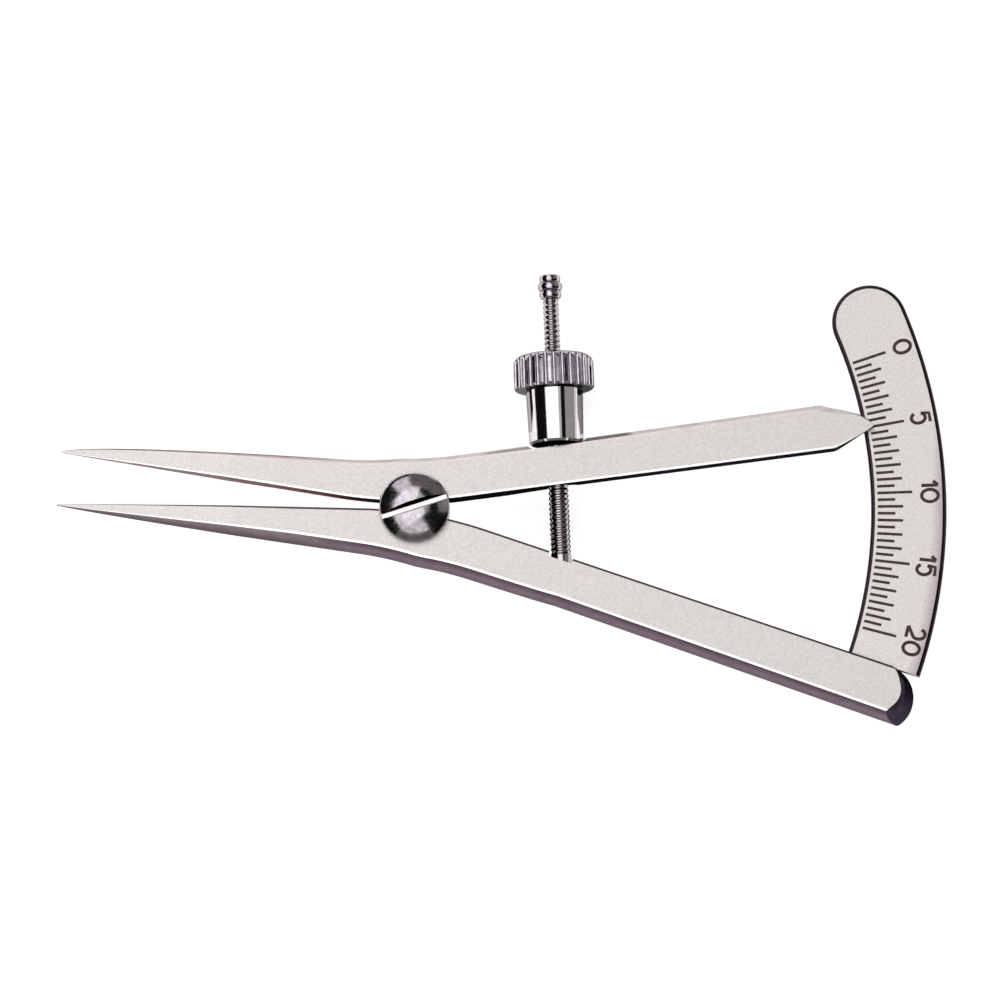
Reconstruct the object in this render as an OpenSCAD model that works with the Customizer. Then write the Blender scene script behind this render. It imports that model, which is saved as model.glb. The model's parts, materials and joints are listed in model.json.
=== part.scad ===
// Rocker caliper with needle points, an arc scale and a thumb nut.
// Origin: pivot axis at the flat back of the arms. X runs towards the scale,
// Y across the arms and Z from the back to the front face. All sizes in millimetres.

/* [Caliper] */
// Distance from the pivot axis to the measuring points
tip_radius = 34.5; // [30:0.5:45]
// Opening of the points at which the caliper stands
reading = 5; // [0:0.5:20]
// Largest opening on the scale
max_reading = 20; // [15:1:20]
// Thickness of both arms
arm_t = 3; // [2.8:0.1:4]

/* [Jaws] */
// Width of a jaw at its point
tip_w = 0.12; // [0.05:0.01:0.3]
// Thickness of a jaw at its point
tip_t = 0.25; // [0.15:0.05:0.5]
// Width of a lever where jaw and arm meet
root_w = 4.8; // [4.4:0.1:5.4]
// Power of the curve by which a jaw widens from its point
jaw_power = 0.78; // [0.6:0.02:1]
// Length over which a jaw thins towards its point
thinning_l = 16.5; // [8:0.5:25]
// Power of the curve by which a jaw thins
thinning_power = 0.83; // [0.6:0.02:1]
// Gap between the closed jaws at the pivot, shared by the two
jaw_relief = 0.2; // [0.1:0.02:0.4]
// Gap that the points keep when closed
tip_gap = 0.04; // [0.02:0.01:0.1]
// Angle by which the closed jaws lie above the X axis
jaw_tilt = 1.1; // [0:0.1:3]

/* [Arms] */
// Angle between the jaw and the arm of the fixed lever
fixed_bend = 17.7; // [17.5:0.1:19]
// Angle between the jaw and the arm of the moving lever
moving_bend = 16.96; // [15:0.02:17]
// Place along X where jaw and arm of the fixed lever meet
fixed_corner = 1.14; // [0.8:0.02:1.6]
// Place along X where jaw and arm of the moving lever meet
moving_corner = -1.38; // [-2:0.02:-1]
// Half the length over which a lever bends from jaw to arm
bend_l = 6; // [4:0.5:8]
// Width of both arms at the spindle, where they are slimmest
waist_w = 4.55; // [4.2:0.05:5]
// Width of the fixed arm at its end
fixed_end_w = 5; // [4.6:0.1:5.6]
// Width of the moving arm where its pointer starts
moving_end_w = 4.65; // [4.4:0.05:5.2]
// How far the fixed arm runs on past the scale plate
fixed_past_scale = 0.2; // [0:0.1:1]
// How far the outer side draws in at the front face
draft = 0.68; // [0.3:0.02:0.9]
// Power of the curve by which it draws in
draft_power = 2.2; // [1.5:0.1:3]
// Height at which the outer side is widest
swell_h = 0.6; // [0.3:0.05:1]
// How far the outer side draws in at the back
back_draft = 0.15; // [0.05:0.01:0.3]
// Broken edge along the inner sides
edge_break = 0.1; // [0.05:0.01:0.2]
// Width of the relief along the back of the inner sides
relief_w = 0.35; // [0.1:0.05:0.6]
// Height of that relief
relief_h = 0.95; // [0.3:0.05:1]
// Width from which a lever has its full draft and edges
full_edge_w = 3.25; // [2.5:0.25:4]

/* [Arm ends] */
// Radius of the round at the end of the fixed arm, at its back
end_r = 3.2; // [2.9:0.05:3.6]
// Place of that round's centre across the arm, from its inner edge
end_r_at = 2.9; // [2.5:0.05:3.2]
// Height of the upright rim below the round's slope
end_rim_h = 0.6; // [0.4:0.05:1.2]
// Radius of the round at the front face
end_face_r = 2.05; // [1.8:0.05:2.4]
// Place of its centre across the arm, from the inner edge
end_face_at = 2.5; // [2.3:0.05:2.7]
// How far the end draws in at the front face
end_draft = 1.4; // [1:0.05:1.6]
// Bevel round the end's front face
end_bevel = 0.4; // [0.2:0.05:0.6]
// Length over which the fixed arm narrows to its end
end_narrowing_l = 6; // [5:0.5:8]
// How far outside the arm that narrowing starts
end_narrowing_w = 1; // [0.5:0.5:2]
// Place of the pointer's tip across the moving arm, from its inner edge
pointer_at = 1.77; // [1.4:0.05:2.2]
// Length of the pointer's outer curve
pointer_l = 4.8; // [4:0.1:6]
// Power of that curve
pointer_power = 0.63; // [0.5:0.01:0.9]
// Length of the pointer's inner bevel
pointer_bevel_l = 3.9; // [3:0.1:5]
// Power of that bevel's curve
pointer_bevel_power = 0.85; // [0.6:0.05:1]
// Width of the pointer at its point
pointer_w = 0.16; // [0.1:0.02:0.3]
// How far the pointer laps over the scale plate
pointer_lap = 0.95; // [0.5:0.05:1.2]
// Gap between the pointer and the scale plate
pointer_gap = 0.15; // [0.1:0.01:0.25]
// How far the pointer's flat underside runs on past the plate's inner edge
undercut_over = 0.3; // [0.2:0.05:0.6]
// Length over which the cut underside runs out to the arm's back
undercut_l = 2.4; // [1.5:0.1:4]

/* [Pivot] */
// Radius of the half-thickness lugs
lug_r = 3.4; // [3.2:0.05:3.8]
// Radial gap round a lug in the other lever
lug_gap = 0.06; // [0.05:0.01:0.2]
// Gap between the two lugs
lap_gap = 0.04; // [0.02:0.01:0.1]
// Radius of the pivot screw's head
head_r = 3.22; // [2.8:0.02:3.4]
// Height of the head's straight rim
head_rim_h = 0.55; // [0.3:0.05:1]
// Height of the head's dome over its rim
head_dome_h = 0.8; // [0.4:0.05:1.2]
// Gap under the head
head_gap = 0.02; // [0.01:0.01:0.05]
// Width of the screwdriver slot at the top of the dome
driver_slot_w = 0.85; // [0.5:0.05:1.2]
// Width of its floor
driver_slot_floor_w = 0.55; // [0.4:0.05:0.8]
// Depth of the screwdriver slot below the top of the dome
driver_slot_d = 0.95; // [0.5:0.05:1.1]
// Direction of the screwdriver slot
driver_slot_angle = 18; // [0:1:180]
// Radius of the screw's shank
shank_r = 1.4; // [1:0.05:1.8]
// Radial gap round the shank in the turning lug
shank_clear = 0.03; // [0.01:0.01:0.08]
// Radial gap round a part that is held tight
seat_clear = 0.01; // [0.01:0.01:0.03]

/* [Scale] */
// Radius of the scale plate's inner edge
scale_inner_r = 44; // [43:0.1:46]
// Width of the scale plate
scale_w = 7.3; // [6:0.1:8]
// Thickness of the scale plate
scale_t = 1; // [0.8:0.05:1.2]
// Bevel round the scale plate, at its front and back
scale_bevel = 0.3; // [0.1:0.05:0.35]
// Angle from the zero line to the middle of the plate's round end
scale_beyond_zero = 4.3; // [3:0.1:6]
// Depth of the tenon in the fixed arm
tenon_d = 1.2; // [0.6:0.1:1.6]
// Step from the plate's inner edge to its tenon
tenon_step = 0.9; // [0.5:0.1:1.5]
// Length of the tenon along the arm
tenon_l = 4.2; // [3:0.1:4.4]
// Gap between the plate and the arm that holds it
tenon_clear = 0.02; // [0.01:0.01:0.05]

/* [Spindle] */
// Radius of the spindle between its eye and the nut's lowest place
spindle_r = 0.98; // [0.8:0.01:1]
// Radius of the spindle where the nut runs
thread_r = 0.78; // [0.6:0.01:0.9]
// Length of the spindle from its pin to its free end
spindle_l = 28.9; // [27:0.1:34]
// Distance along the fixed arm from the pivot to the spindle's pin
pin_along = 15.3; // [13:0.1:18]
// Depth of the pin below the fixed arm's inner edge
pin_depth = 1.15; // [1.1:0.05:1.6]
// Radius of the pin
pin_r = 0.4; // [0.3:0.02:0.5]
// Radial gap round the pin in the spindle
pin_clear = 0.03; // [0.01:0.01:0.06]
// Metal left over the blind end of the pin's hole
pin_cover = 0.25; // [0.15:0.05:0.4]
// Gap between the pin and the blind end of its hole
pin_end_gap = 0.05; // [0.02:0.01:0.1]
// Gap between the spindle and the slots that it swings in
swing_clear = 0.06; // [0.04:0.01:0.1]
// Radius of the countersink at the mouth of the spindle's slot
mouth_r = 1.9; // [1.7:0.05:2.1]
// Depth of that countersink
mouth_d = 0.5; // [0.3:0.05:0.8]
// Radius of the stop at the free end
stop_r = 1.2; // [1.1:0.02:1.5]
// Height of the stop
stop_h = 2.3; // [1.5:0.1:3]
// Bevel at both ends of the stop
stop_bevel = 0.35; // [0.1:0.05:0.5]
// Radius of the centre mark in the stop
mark_r = 0.5; // [0.3:0.05:0.7]
// Depth of the centre mark
mark_d = 0.25; // [0.1:0.05:0.4]

/* [Thumb nut] */
// Radius of the nut over its flutes
nut_r = 3.88; // [3.4:0.02:4.4]
// Height of the nut
nut_h = 3; // [2.4:0.1:4]
// Number of flutes
flutes = 30; // [20:1:36]
// Radius of a flute
flute_r = 0.27; // [0.2:0.01:0.35]
// Radius of the nut's rounded top edge
nut_round = 0.9; // [0.2:0.05:1.2]
// Bevel of the nut's lower edge
nut_bevel = 0.2; // [0.1:0.05:0.4]
// Radial gap between the nut and the spindle
nut_clear = 0.02; // [0.01:0.01:0.05]
// Gap between the nut and the sleeve
nut_gap = 0.03; // [0.02:0.01:0.1]
// Radius of the thrust sleeve at its top
sleeve_r = 2.76; // [2.4:0.02:3.2]
// Radius of the thrust sleeve at its foot
sleeve_foot_r = 2.62; // [2.3:0.02:3.1]
// Length of the thrust sleeve
sleeve_l = 4.8; // [4:0.1:6]
// Bevel of the sleeve's top edge
sleeve_bevel = 0.12; // [0.05:0.01:0.3]
// Radius of the sleeve's domed foot
foot_dome_r = 14; // [10:0.5:15]
// Bevel round that foot
foot_bevel = 0.2; // [0.1:0.05:0.4]
// Gap between the domed foot and the arm's outer side
foot_gap = 0.2; // [0.2:0.01:0.3]
// Radial gap between the sleeve and the spindle
sleeve_clear = 0.08; // [0.04:0.01:0.1]

/* [Hidden] */
$fn = 96;
// Segments of a circle that a hull rounds with
hull_fn = 32;
// How far a cut runs past what it cuts
over = 1;

steel = "#cfcbc8";
bright_steel = "#b9b6b6";
dark_steel = "#8d868c";

mid_z = arm_t / 2;

// Angle by which the levers open for a reading
function opening(d) = 2 * asin(d / (2 * tip_radius));
fixed_turn = -jaw_tilt;
moving_turn = -jaw_tilt - opening(reading);

// Inner edge of a jaw: nearly on the line through the pivot, with the relief
function jaw_edge_y(x) = tip_gap / 2 + jaw_relief / 2 * (1 + x / tip_radius);

// Inner edge of a whole lever, as a path from the point (negative) to the arm's end:
// a straight jaw, a parabola round the corner and a straight arm
function lever_path(s, bend, corner) =
    let (c = [corner, jaw_edge_y(corner)],
         jaw = function (q) [corner + q, jaw_edge_y(corner + q)],
         arm = function (q) c + q * [cos(bend), sin(bend)],
         t = (s + bend_l) / (2 * bend_l))
    s <= -bend_l ? jaw(s)
    : s >= bend_l ? arm(s)
    : (1 - t) * (1 - t) * jaw(-bend_l) + 2 * t * (1 - t) * c + t * t * arm(bend_l);

// Direction of that path
function lever_angle(s, bend) =
    let (t = min(1, max(0, (s + bend_l) / (2 * bend_l))))
    atan2(t * sin(bend), 1 - t + t * cos(bend));

// Distance of an arm's inner edge from the pivot axis
function inner_offset(bend, corner) = jaw_edge_y(corner) * cos(bend) - corner * sin(bend);

// Place on the path that lies a given length along the arm from the pivot
function path_at(along, bend, corner) = along - corner * cos(bend) - jaw_edge_y(corner) * sin(bend);

fixed_inner = inner_offset(fixed_bend, fixed_corner);
moving_inner = inner_offset(moving_bend, moving_corner);

// The pin and the seat of the sleeve lie at one radius from the pivot, so the spindle
// turns by half the angle of the moving arm
pin_across = fixed_inner + pin_depth;
swing_r = norm([pin_along, pin_across]);
pin_angle = fixed_turn - fixed_bend - atan(pin_across / pin_along);
pin_at = swing_r * [cos(pin_angle), sin(pin_angle)];
seat_across = moving_inner + waist_w;
seat_along = sqrt(swing_r * swing_r - seat_across * seat_across);
function seat_angle(d) = -jaw_tilt - opening(d) + moving_bend + atan(seat_across / seat_along);
function seat_reach(d) = 2 * swing_r * sin((seat_angle(d) - pin_angle) / 2);
function spindle_angle(d) = (seat_angle(d) + pin_angle) / 2 + 90;

// The nut comes down to here at the largest reading, and the spindle is thicker below it
spindle_step_at = seat_reach(max_reading) + sleeve_l;

// Lean of the spindle from square to an arm, at a reading
function lean_moving(d) = spindle_angle(d) - (90 + moving_bend - jaw_tilt - opening(d));
function lean_fixed(d) = spindle_angle(d) - (90 - fixed_bend - jaw_tilt);

pointer_r = scale_inner_r + pointer_lap;
pointer_across = moving_inner + pointer_at;
pointer_along = sqrt(pointer_r * pointer_r - pointer_across * pointer_across);
zero_angle = -jaw_tilt + moving_bend + atan(pointer_across / pointer_along);
scale_outer_r = scale_inner_r + scale_w;
fixed_l = scale_outer_r + fixed_past_scale;
scale_z = mid_z - scale_t / 2;
undercut_z = scale_z + scale_t + pointer_gap;

// Width of a lever square to its inner edge
function jaw_width(s, s_tip) = tip_w + (root_w - tip_w) * pow(1 - s / s_tip, jaw_power);
function arm_width(s, s_waist, s_end, end_w) =
    s < s_waist ? waist_w + (root_w - waist_w) * pow(1 - s / s_waist, 2)
    : waist_w + (end_w - waist_w) * (s - s_waist) / (s_end - s_waist);

// How much of the relief a lever has: none round the pivot, all of it along the jaw and the arm
function relief_share(s) = min(1, max(0, (abs(s - 3) - bend_l) / bend_l));

// One cross-section of a lever: inner and outer offset from the path, bottom and top level
function section(inner, outer, low, high, relief) =
    let (t = high - low,
         share = min(1, t / arm_t, (outer - inner) / full_edge_w),
         e = edge_break * share,
         back_w = max(e, relief_w * share * relief),
         back_h = max(e, relief_h * share * relief),
         swell = swell_h / arm_t,
         steps = 4)
    [[inner + back_w, low], [inner, low + back_h], [inner, high - e], [inner + e, high],
     for (i = [0 : steps]) let (h = 1 - i / steps)
        [outer - draft * share * pow(h, draft_power), low + t * (swell + (1 - swell) * h)],
     [outer - back_draft * share, low]];

// Skin over a row of cross-sections with equally many points
module loft(sections) {
    n = len(sections[0]);
    m = len(sections);
    side = [for (i = [0 : m - 2]) for (j = [0 : n - 1]) for (k = [0, 1])
        let (a = i * n + j, b = i * n + (j + 1) % n)
        k == 0 ? [a, b, a + n] : [b, b + n, a + n]];
    first = [for (j = [1 : n - 2]) [0, j + 1, j]];
    last = [for (j = [1 : n - 2]) [(m - 1) * n, (m - 1) * n + j, (m - 1) * n + j + 1]];
    polyhedron([for (s = sections) each s], concat(side, first, last), convexity = 4);
}

// A lever lies with its jaw along -X and its outer side towards +Y
module lever(bend, corner, waist_along, end_along, end_w, pointed) {
    s_tip = -tip_radius - corner;
    s_waist = path_at(waist_along, bend, corner);
    s_end = path_at(end_along, bend, corner);
    s_curve = s_end - (pointed ? pointer_l : 0);
    jaw_steps = 26;
    arm_steps = 24;
    end_steps = 12;
    stations = [
        for (i = [0 : jaw_steps - 1]) s_tip - (s_tip + bend_l) * pow(i / jaw_steps, 1.5),
        for (i = [0 : arm_steps]) -bend_l + (s_curve + bend_l) * i / arm_steps,
        if (pointed) for (i = [1 : end_steps]) s_end - pointer_l * pow(1 - i / end_steps, 2)];
    loft([for (s = stations)
        let (w = s < 0 ? jaw_width(s, s_tip) : arm_width(s, s_waist, s_end, end_w),
             t = tip_t + (arm_t - tip_t) * min(1, pow((s - s_tip) / thinning_l, thinning_power)),
             d = s_end - s,
             cut = pointed ? min(1, max(0, 1 - (d - pointer_lap - undercut_over) / undercut_l)) : 0,
             low = mid_z - t / 2 + undercut_z * cut,
             high = mid_z + t / 2,
             bevel = pow(min(1, d / pointer_bevel_l), pointer_bevel_power),
             curve = pow(min(1, d / pointer_l), pointer_power),
             inner = pointed ? (pointer_at - pointer_w / 2) * (1 - bevel) : 0,
             outer = pointed ? w + (pointer_at + pointer_w / 2 - w) * (1 - curve) : w,
             at = lever_path(s, bend, corner),
             g = lever_angle(s, bend))
        [for (p = section(inner, outer, low, high, relief_share(s)))
            [at[0] - p[0] * sin(g), at[1] + p[0] * cos(g), p[1]]]]);
}

module along_arm(bend) rotate([0, 0, bend]) children();
module fixed_place() rotate([0, 0, fixed_turn]) mirror([0, 1, 0]) children();
module moving_place() rotate([0, 0, moving_turn]) children();

module disc(r, low, high) translate([0, 0, low]) cylinder(r = r, h = high - low);

// What is ground away from the end of the fixed arm, drawn along the arm
module fixed_end_cut() {
    start = fixed_l - end_narrowing_l;
    side = fixed_inner - end_narrowing_w;
    wide = fixed_end_w + 2 * end_narrowing_w;
    face_at = [fixed_l - end_draft - end_face_r, fixed_inner + end_face_at, 0];
    difference() {
        translate([start + over, side - over, -over]) cube([end_narrowing_l, wide + 2 * over, arm_t + 2 * over]);
        hull() {
            translate([start, side, -2 * over]) cube([over / 2, wide, arm_t + 4 * over]);
            translate([fixed_l - end_r, fixed_inner + end_r_at, 0])
                disc(end_r, -2 * over, end_rim_h, $fn = hull_fn);
            translate(face_at) disc(end_face_r + end_bevel, 0, arm_t - end_bevel, $fn = hull_fn);
            translate(face_at) disc(end_face_r - end_bevel, 0, arm_t + end_bevel, $fn = hull_fn);
        }
    }
}

// Room for the spindle in the fixed arm, drawn along the arm with the pin at the origin
module fixed_slot() {
    half = spindle_r + swing_clear;
    up = pin_depth + over;
    a = lean_fixed(0);
    b = lean_fixed(max_reading);
    translate([0, 0, mid_z - half]) linear_extrude(2 * half) {
        circle(r = half);
        polygon([
            [-half * cos(a), half * sin(a)],
            [-half / cos(a) - up * tan(a), -up],
            [half / cos(b) - up * tan(b), -up],
            [half * cos(b), -half * sin(b)]]);
    }
    mouth_x = -pin_depth * (tan(a) + tan(b)) / 2;
    translate([mouth_x, -pin_depth + mouth_d, mid_z]) rotate([90, 0, 0])
        cylinder(r = mouth_r, h = mouth_d + over);
}

module fixed_arm() {
    color(steel) fixed_place() difference() {
        union() {
            difference() {
                lever(fixed_bend, fixed_corner, pin_along, fixed_l, fixed_end_w, false);
                disc(lug_r + lug_gap, -over, mid_z + lap_gap / 2);
            }
            disc(lug_r, mid_z + lap_gap / 2, arm_t);
        }
        disc(shank_r + shank_clear, -over, arm_t + over);
        along_arm(fixed_bend) {
            translate([pin_along, pin_across, 0]) {
                fixed_slot();
                disc(pin_r + seat_clear, -over, arm_t - pin_cover);
            }
            fixed_end_cut();
            translate([scale_inner_r + tenon_step - tenon_clear, fixed_inner - over, scale_z - tenon_clear])
                cube([tenon_l + 2 * tenon_clear, tenon_d + tenon_clear + over, scale_t + 2 * tenon_clear]);
        }
    }
}

module moving_arm() {
    half = spindle_r + swing_clear;
    leans = [lean_moving(0), lean_moving(max_reading)];
    shifts = [for (a = leans) waist_w * tan(a)];
    extra = half / cos(max(abs(leans[0]), abs(leans[1]))) - half;
    slot_low = min(0, shifts[0], shifts[1]) - extra;
    slot_high = max(0, shifts[0], shifts[1]) + extra;
    slot_l = waist_w + 2 * over;
    color(steel) moving_place() difference() {
        union() {
            difference() {
                lever(moving_bend, moving_corner, seat_along, pointer_along, moving_end_w, true);
                disc(lug_r + lug_gap, mid_z - lap_gap / 2, arm_t + over);
            }
            disc(lug_r, 0, mid_z - lap_gap / 2);
        }
        disc(shank_r + seat_clear, -over, arm_t + over);
        along_arm(moving_bend) translate([seat_along, seat_across + over, mid_z]) rotate([90, 0, 0]) {
            for (x = [slot_low, slot_high]) translate([x, 0, 0]) cylinder(r = half, h = slot_l);
            translate([slot_low, -half, 0]) cube([slot_high - slot_low, 2 * half, slot_l]);
        }
    }
}

// Half of the plate's cross-section, from its middle to a bevelled edge
module plate_half() {
    edge = scale_w / 2;
    polygon([[0, 0], [edge - scale_bevel, 0], [edge, scale_bevel],
             [edge, scale_t - scale_bevel], [edge - scale_bevel, scale_t], [0, scale_t]]);
}

// The scale plate: its cross-section spun about the pivot, a round end and a tenon,
// drawn along the fixed arm's mirrored inner edge
module scale_plate() {
    mid_r = scale_inner_r + scale_w / 2;
    edge_y = fixed_inner - tenon_clear;
    end_angle = -(zero_angle + scale_beyond_zero + jaw_tilt + fixed_bend);
    color(steel) fixed_place() along_arm(fixed_bend) translate([0, 0, scale_z]) {
        difference() {
            rotate([0, 0, end_angle]) {
                rotate_extrude(angle = -end_angle + over, $fn = 240) translate([mid_r, 0]) {
                    plate_half();
                    mirror([1, 0]) plate_half();
                }
                translate([mid_r, 0, 0]) rotate_extrude() plate_half();
            }
            translate([0, edge_y, -over]) cube([2 * scale_outer_r, scale_w, scale_t + 2 * over]);
        }
        translate([scale_inner_r + tenon_step, edge_y - tenon_clear, 0])
            cube([tenon_l, tenon_d + 2 * tenon_clear, scale_t]);
    }
}

// Cross-section of the screwdriver slot, from its floor up
module driver_slot() {
    top = driver_slot_w / 2;
    floor = driver_slot_floor_w / 2;
    polygon([[-floor, 0], [floor, 0], [top, driver_slot_d], [top, driver_slot_d + over],
             [-top, driver_slot_d + over], [-top, driver_slot_d]]);
}

module pivot_screw() {
    seat = arm_t + head_gap;
    ball_r = (head_r * head_r + head_dome_h * head_dome_h) / (2 * head_dome_h);
    top = seat + head_rim_h + head_dome_h;
    color(dark_steel) moving_place() difference() {
        union() {
            disc(shank_r, 0, seat + head_rim_h / 2);
            disc(head_r, seat, seat + head_rim_h);
            intersection() {
                translate([0, 0, top - ball_r]) sphere(r = ball_r);
                disc(head_r, seat + head_rim_h / 2, top + over);
            }
        }
        rotate([0, 0, driver_slot_angle - moving_turn]) translate([-head_r - over, 0, top - driver_slot_d])
            rotate([90, 0, 90]) linear_extrude(2 * (head_r + over)) driver_slot();
    }
}

// Stands a child on the spindle's axis, with Z along the spindle from its pin
module on_spindle(h = 0) {
    translate([pin_at[0], pin_at[1], mid_z]) rotate([0, 0, spindle_angle(reading) - 90])
        rotate([-90, 0, 0]) translate([0, 0, h]) children();
}

module spindle() {
    color(bright_steel) on_spindle() difference() {
        union() {
            sphere(r = spindle_r);
            cylinder(r = spindle_r, h = spindle_step_at);
            cylinder(r = thread_r, h = spindle_l - stop_h / 2);
            translate([0, 0, spindle_l - stop_h]) rotate_extrude()
                polygon([[0, 0], [thread_r, 0], [stop_r, stop_bevel], [stop_r, stop_h - stop_bevel],
                         [stop_r - stop_bevel, stop_h], [0, stop_h]]);
        }
        rotate([90, 0, 0]) translate([0, 0, -2 * spindle_r]) cylinder(r = pin_r + pin_clear, h = 4 * spindle_r);
        translate([0, 0, spindle_l - mark_d]) cylinder(r1 = 0, r2 = 2 * mark_r, h = 2 * mark_d);
    }
}

module spindle_pin() {
    color(dark_steel) fixed_place() along_arm(fixed_bend) translate([pin_along, pin_across, 0])
        disc(pin_r, 0, arm_t - pin_cover - pin_end_gap);
}

module thrust_sleeve() {
    rim_r = sleeve_foot_r - foot_bevel;
    rim_rise = foot_dome_r - sqrt(foot_dome_r * foot_dome_r - rim_r * rim_r);
    color(bright_steel) on_spindle(seat_reach(reading) + foot_gap) difference() {
        intersection() {
            translate([0, 0, foot_dome_r]) sphere(r = foot_dome_r, $fn = 160);
            rotate_extrude()
                polygon([[0, 0], [rim_r - rim_rise, 0], [sleeve_foot_r, rim_rise + foot_bevel],
                         [sleeve_r, sleeve_l - sleeve_bevel], [sleeve_r - sleeve_bevel, sleeve_l], [0, sleeve_l]]);
        }
        translate([0, 0, -over]) cylinder(r = spindle_r + sleeve_clear, h = sleeve_l + 2 * over);
    }
}

module thumb_nut() {
    bore = thread_r + nut_clear;
    arc_steps = 8;
    color(bright_steel) on_spindle(seat_reach(reading) + foot_gap + sleeve_l + nut_gap) difference() {
        rotate_extrude() polygon([
            [bore, 0], [nut_r - nut_bevel, 0], [nut_r, nut_bevel],
            for (i = [0 : arc_steps]) let (g = 90 * i / arc_steps)
                [nut_r - nut_round * (1 - cos(g)), nut_h - nut_round * (1 - sin(g))],
            [bore, nut_h]]);
        for (i = [0 : flutes - 1]) rotate([0, 0, 360 * i / flutes])
            translate([nut_r, 0, -over]) cylinder(r = flute_r, h = nut_h + 2 * over, $fn = 24);
    }
}

fixed_arm();
moving_arm();
scale_plate();
pivot_screw();
spindle();
spindle_pin();
thrust_sleeve();
thumb_nut();
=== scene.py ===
"""Looks of a rocker caliper in satin and polished stainless steel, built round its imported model."""

import json
import math
from collections import namedtuple
from itertools import product

import bmesh
import bpy
from bpy.props import FloatProperty, FloatVectorProperty, IntProperty, PointerProperty
from mathutils import Matrix, Vector


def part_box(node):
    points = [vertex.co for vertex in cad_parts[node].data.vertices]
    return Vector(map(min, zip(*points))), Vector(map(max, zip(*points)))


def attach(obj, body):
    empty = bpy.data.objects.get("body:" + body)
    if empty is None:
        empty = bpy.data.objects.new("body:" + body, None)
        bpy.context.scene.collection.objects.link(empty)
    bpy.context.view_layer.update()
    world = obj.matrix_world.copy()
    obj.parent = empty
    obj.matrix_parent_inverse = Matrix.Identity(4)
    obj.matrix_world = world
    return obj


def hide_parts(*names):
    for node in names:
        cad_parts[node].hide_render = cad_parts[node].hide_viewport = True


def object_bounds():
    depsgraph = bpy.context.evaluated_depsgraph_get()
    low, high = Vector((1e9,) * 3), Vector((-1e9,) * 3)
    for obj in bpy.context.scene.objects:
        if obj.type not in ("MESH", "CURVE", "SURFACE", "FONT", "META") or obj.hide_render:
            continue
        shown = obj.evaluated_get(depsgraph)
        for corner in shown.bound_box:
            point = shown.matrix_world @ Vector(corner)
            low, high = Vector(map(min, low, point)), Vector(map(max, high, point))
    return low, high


bl_info = {
    "name": "Rocker Caliper",
    "version": (1, 0, 0),
    "blender": (4, 5, 0),
    "location": "3D View > Sidebar > Caliper",
    "description": "Builds the visible pieces of a rocker caliper, their finishes and a plain studio",
    "category": "Object",
}

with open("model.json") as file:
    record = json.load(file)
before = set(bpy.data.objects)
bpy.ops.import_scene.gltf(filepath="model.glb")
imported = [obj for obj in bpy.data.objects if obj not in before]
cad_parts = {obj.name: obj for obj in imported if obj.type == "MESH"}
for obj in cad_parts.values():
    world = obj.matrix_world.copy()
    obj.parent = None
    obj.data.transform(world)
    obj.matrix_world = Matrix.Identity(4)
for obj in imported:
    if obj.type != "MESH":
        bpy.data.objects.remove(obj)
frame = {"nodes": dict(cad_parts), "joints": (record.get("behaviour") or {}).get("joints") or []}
cad_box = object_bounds()

MM = 0.001
# Vertices that lie this close are one
WELD = 0.0001 * MM
ROUND_STEPS = 96
PIN_STEPS = 48
FULL_TURN = 2 * math.pi
JOINTS = {joint["name"]: joint for joint in frame["joints"]}
PIN_AT = Vector(JOINTS["spindle_swing"]["pos_m"])
SPINDLE_WAY = Vector(JOINTS["sleeve_travel"]["axis"]).normalized()


# Sizes and colours


def length(name, millimetres, description):
    """A size that a user can change, given in millimetres and kept in metres."""
    return FloatProperty(
        name=name, description=description, default=millimetres * MM, min=0, precision=5, unit="LENGTH"
    )


def angle(name, degrees, description):
    """An angle that a user can change, given in degrees and kept in radians."""
    return FloatProperty(name=name, description=description, default=math.radians(degrees), subtype="ANGLE")


def power(name, value, description):
    """The power of a curve that a user can change."""
    return FloatProperty(name=name, description=description, default=value, min=0)


def count(name, number, description):
    """A whole number that a user can change."""
    return IntProperty(name=name, description=description, default=number, min=1)


def linear(code):
    """Linear colour of an sRGB hex code."""
    parts = [int(code[i : i + 2], 16) / 255 for i in (1, 3, 5)]
    return [c / 12.92 if c <= 0.04045 else ((c + 0.055) / 1.055) ** 2.4 for c in parts]


def colour(name, code, description):
    """A finish colour that a user can change, given as an sRGB hex code."""
    return FloatVectorProperty(
        name=name, description=description, default=linear(code), min=0, max=1, subtype="COLOR"
    )


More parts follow.
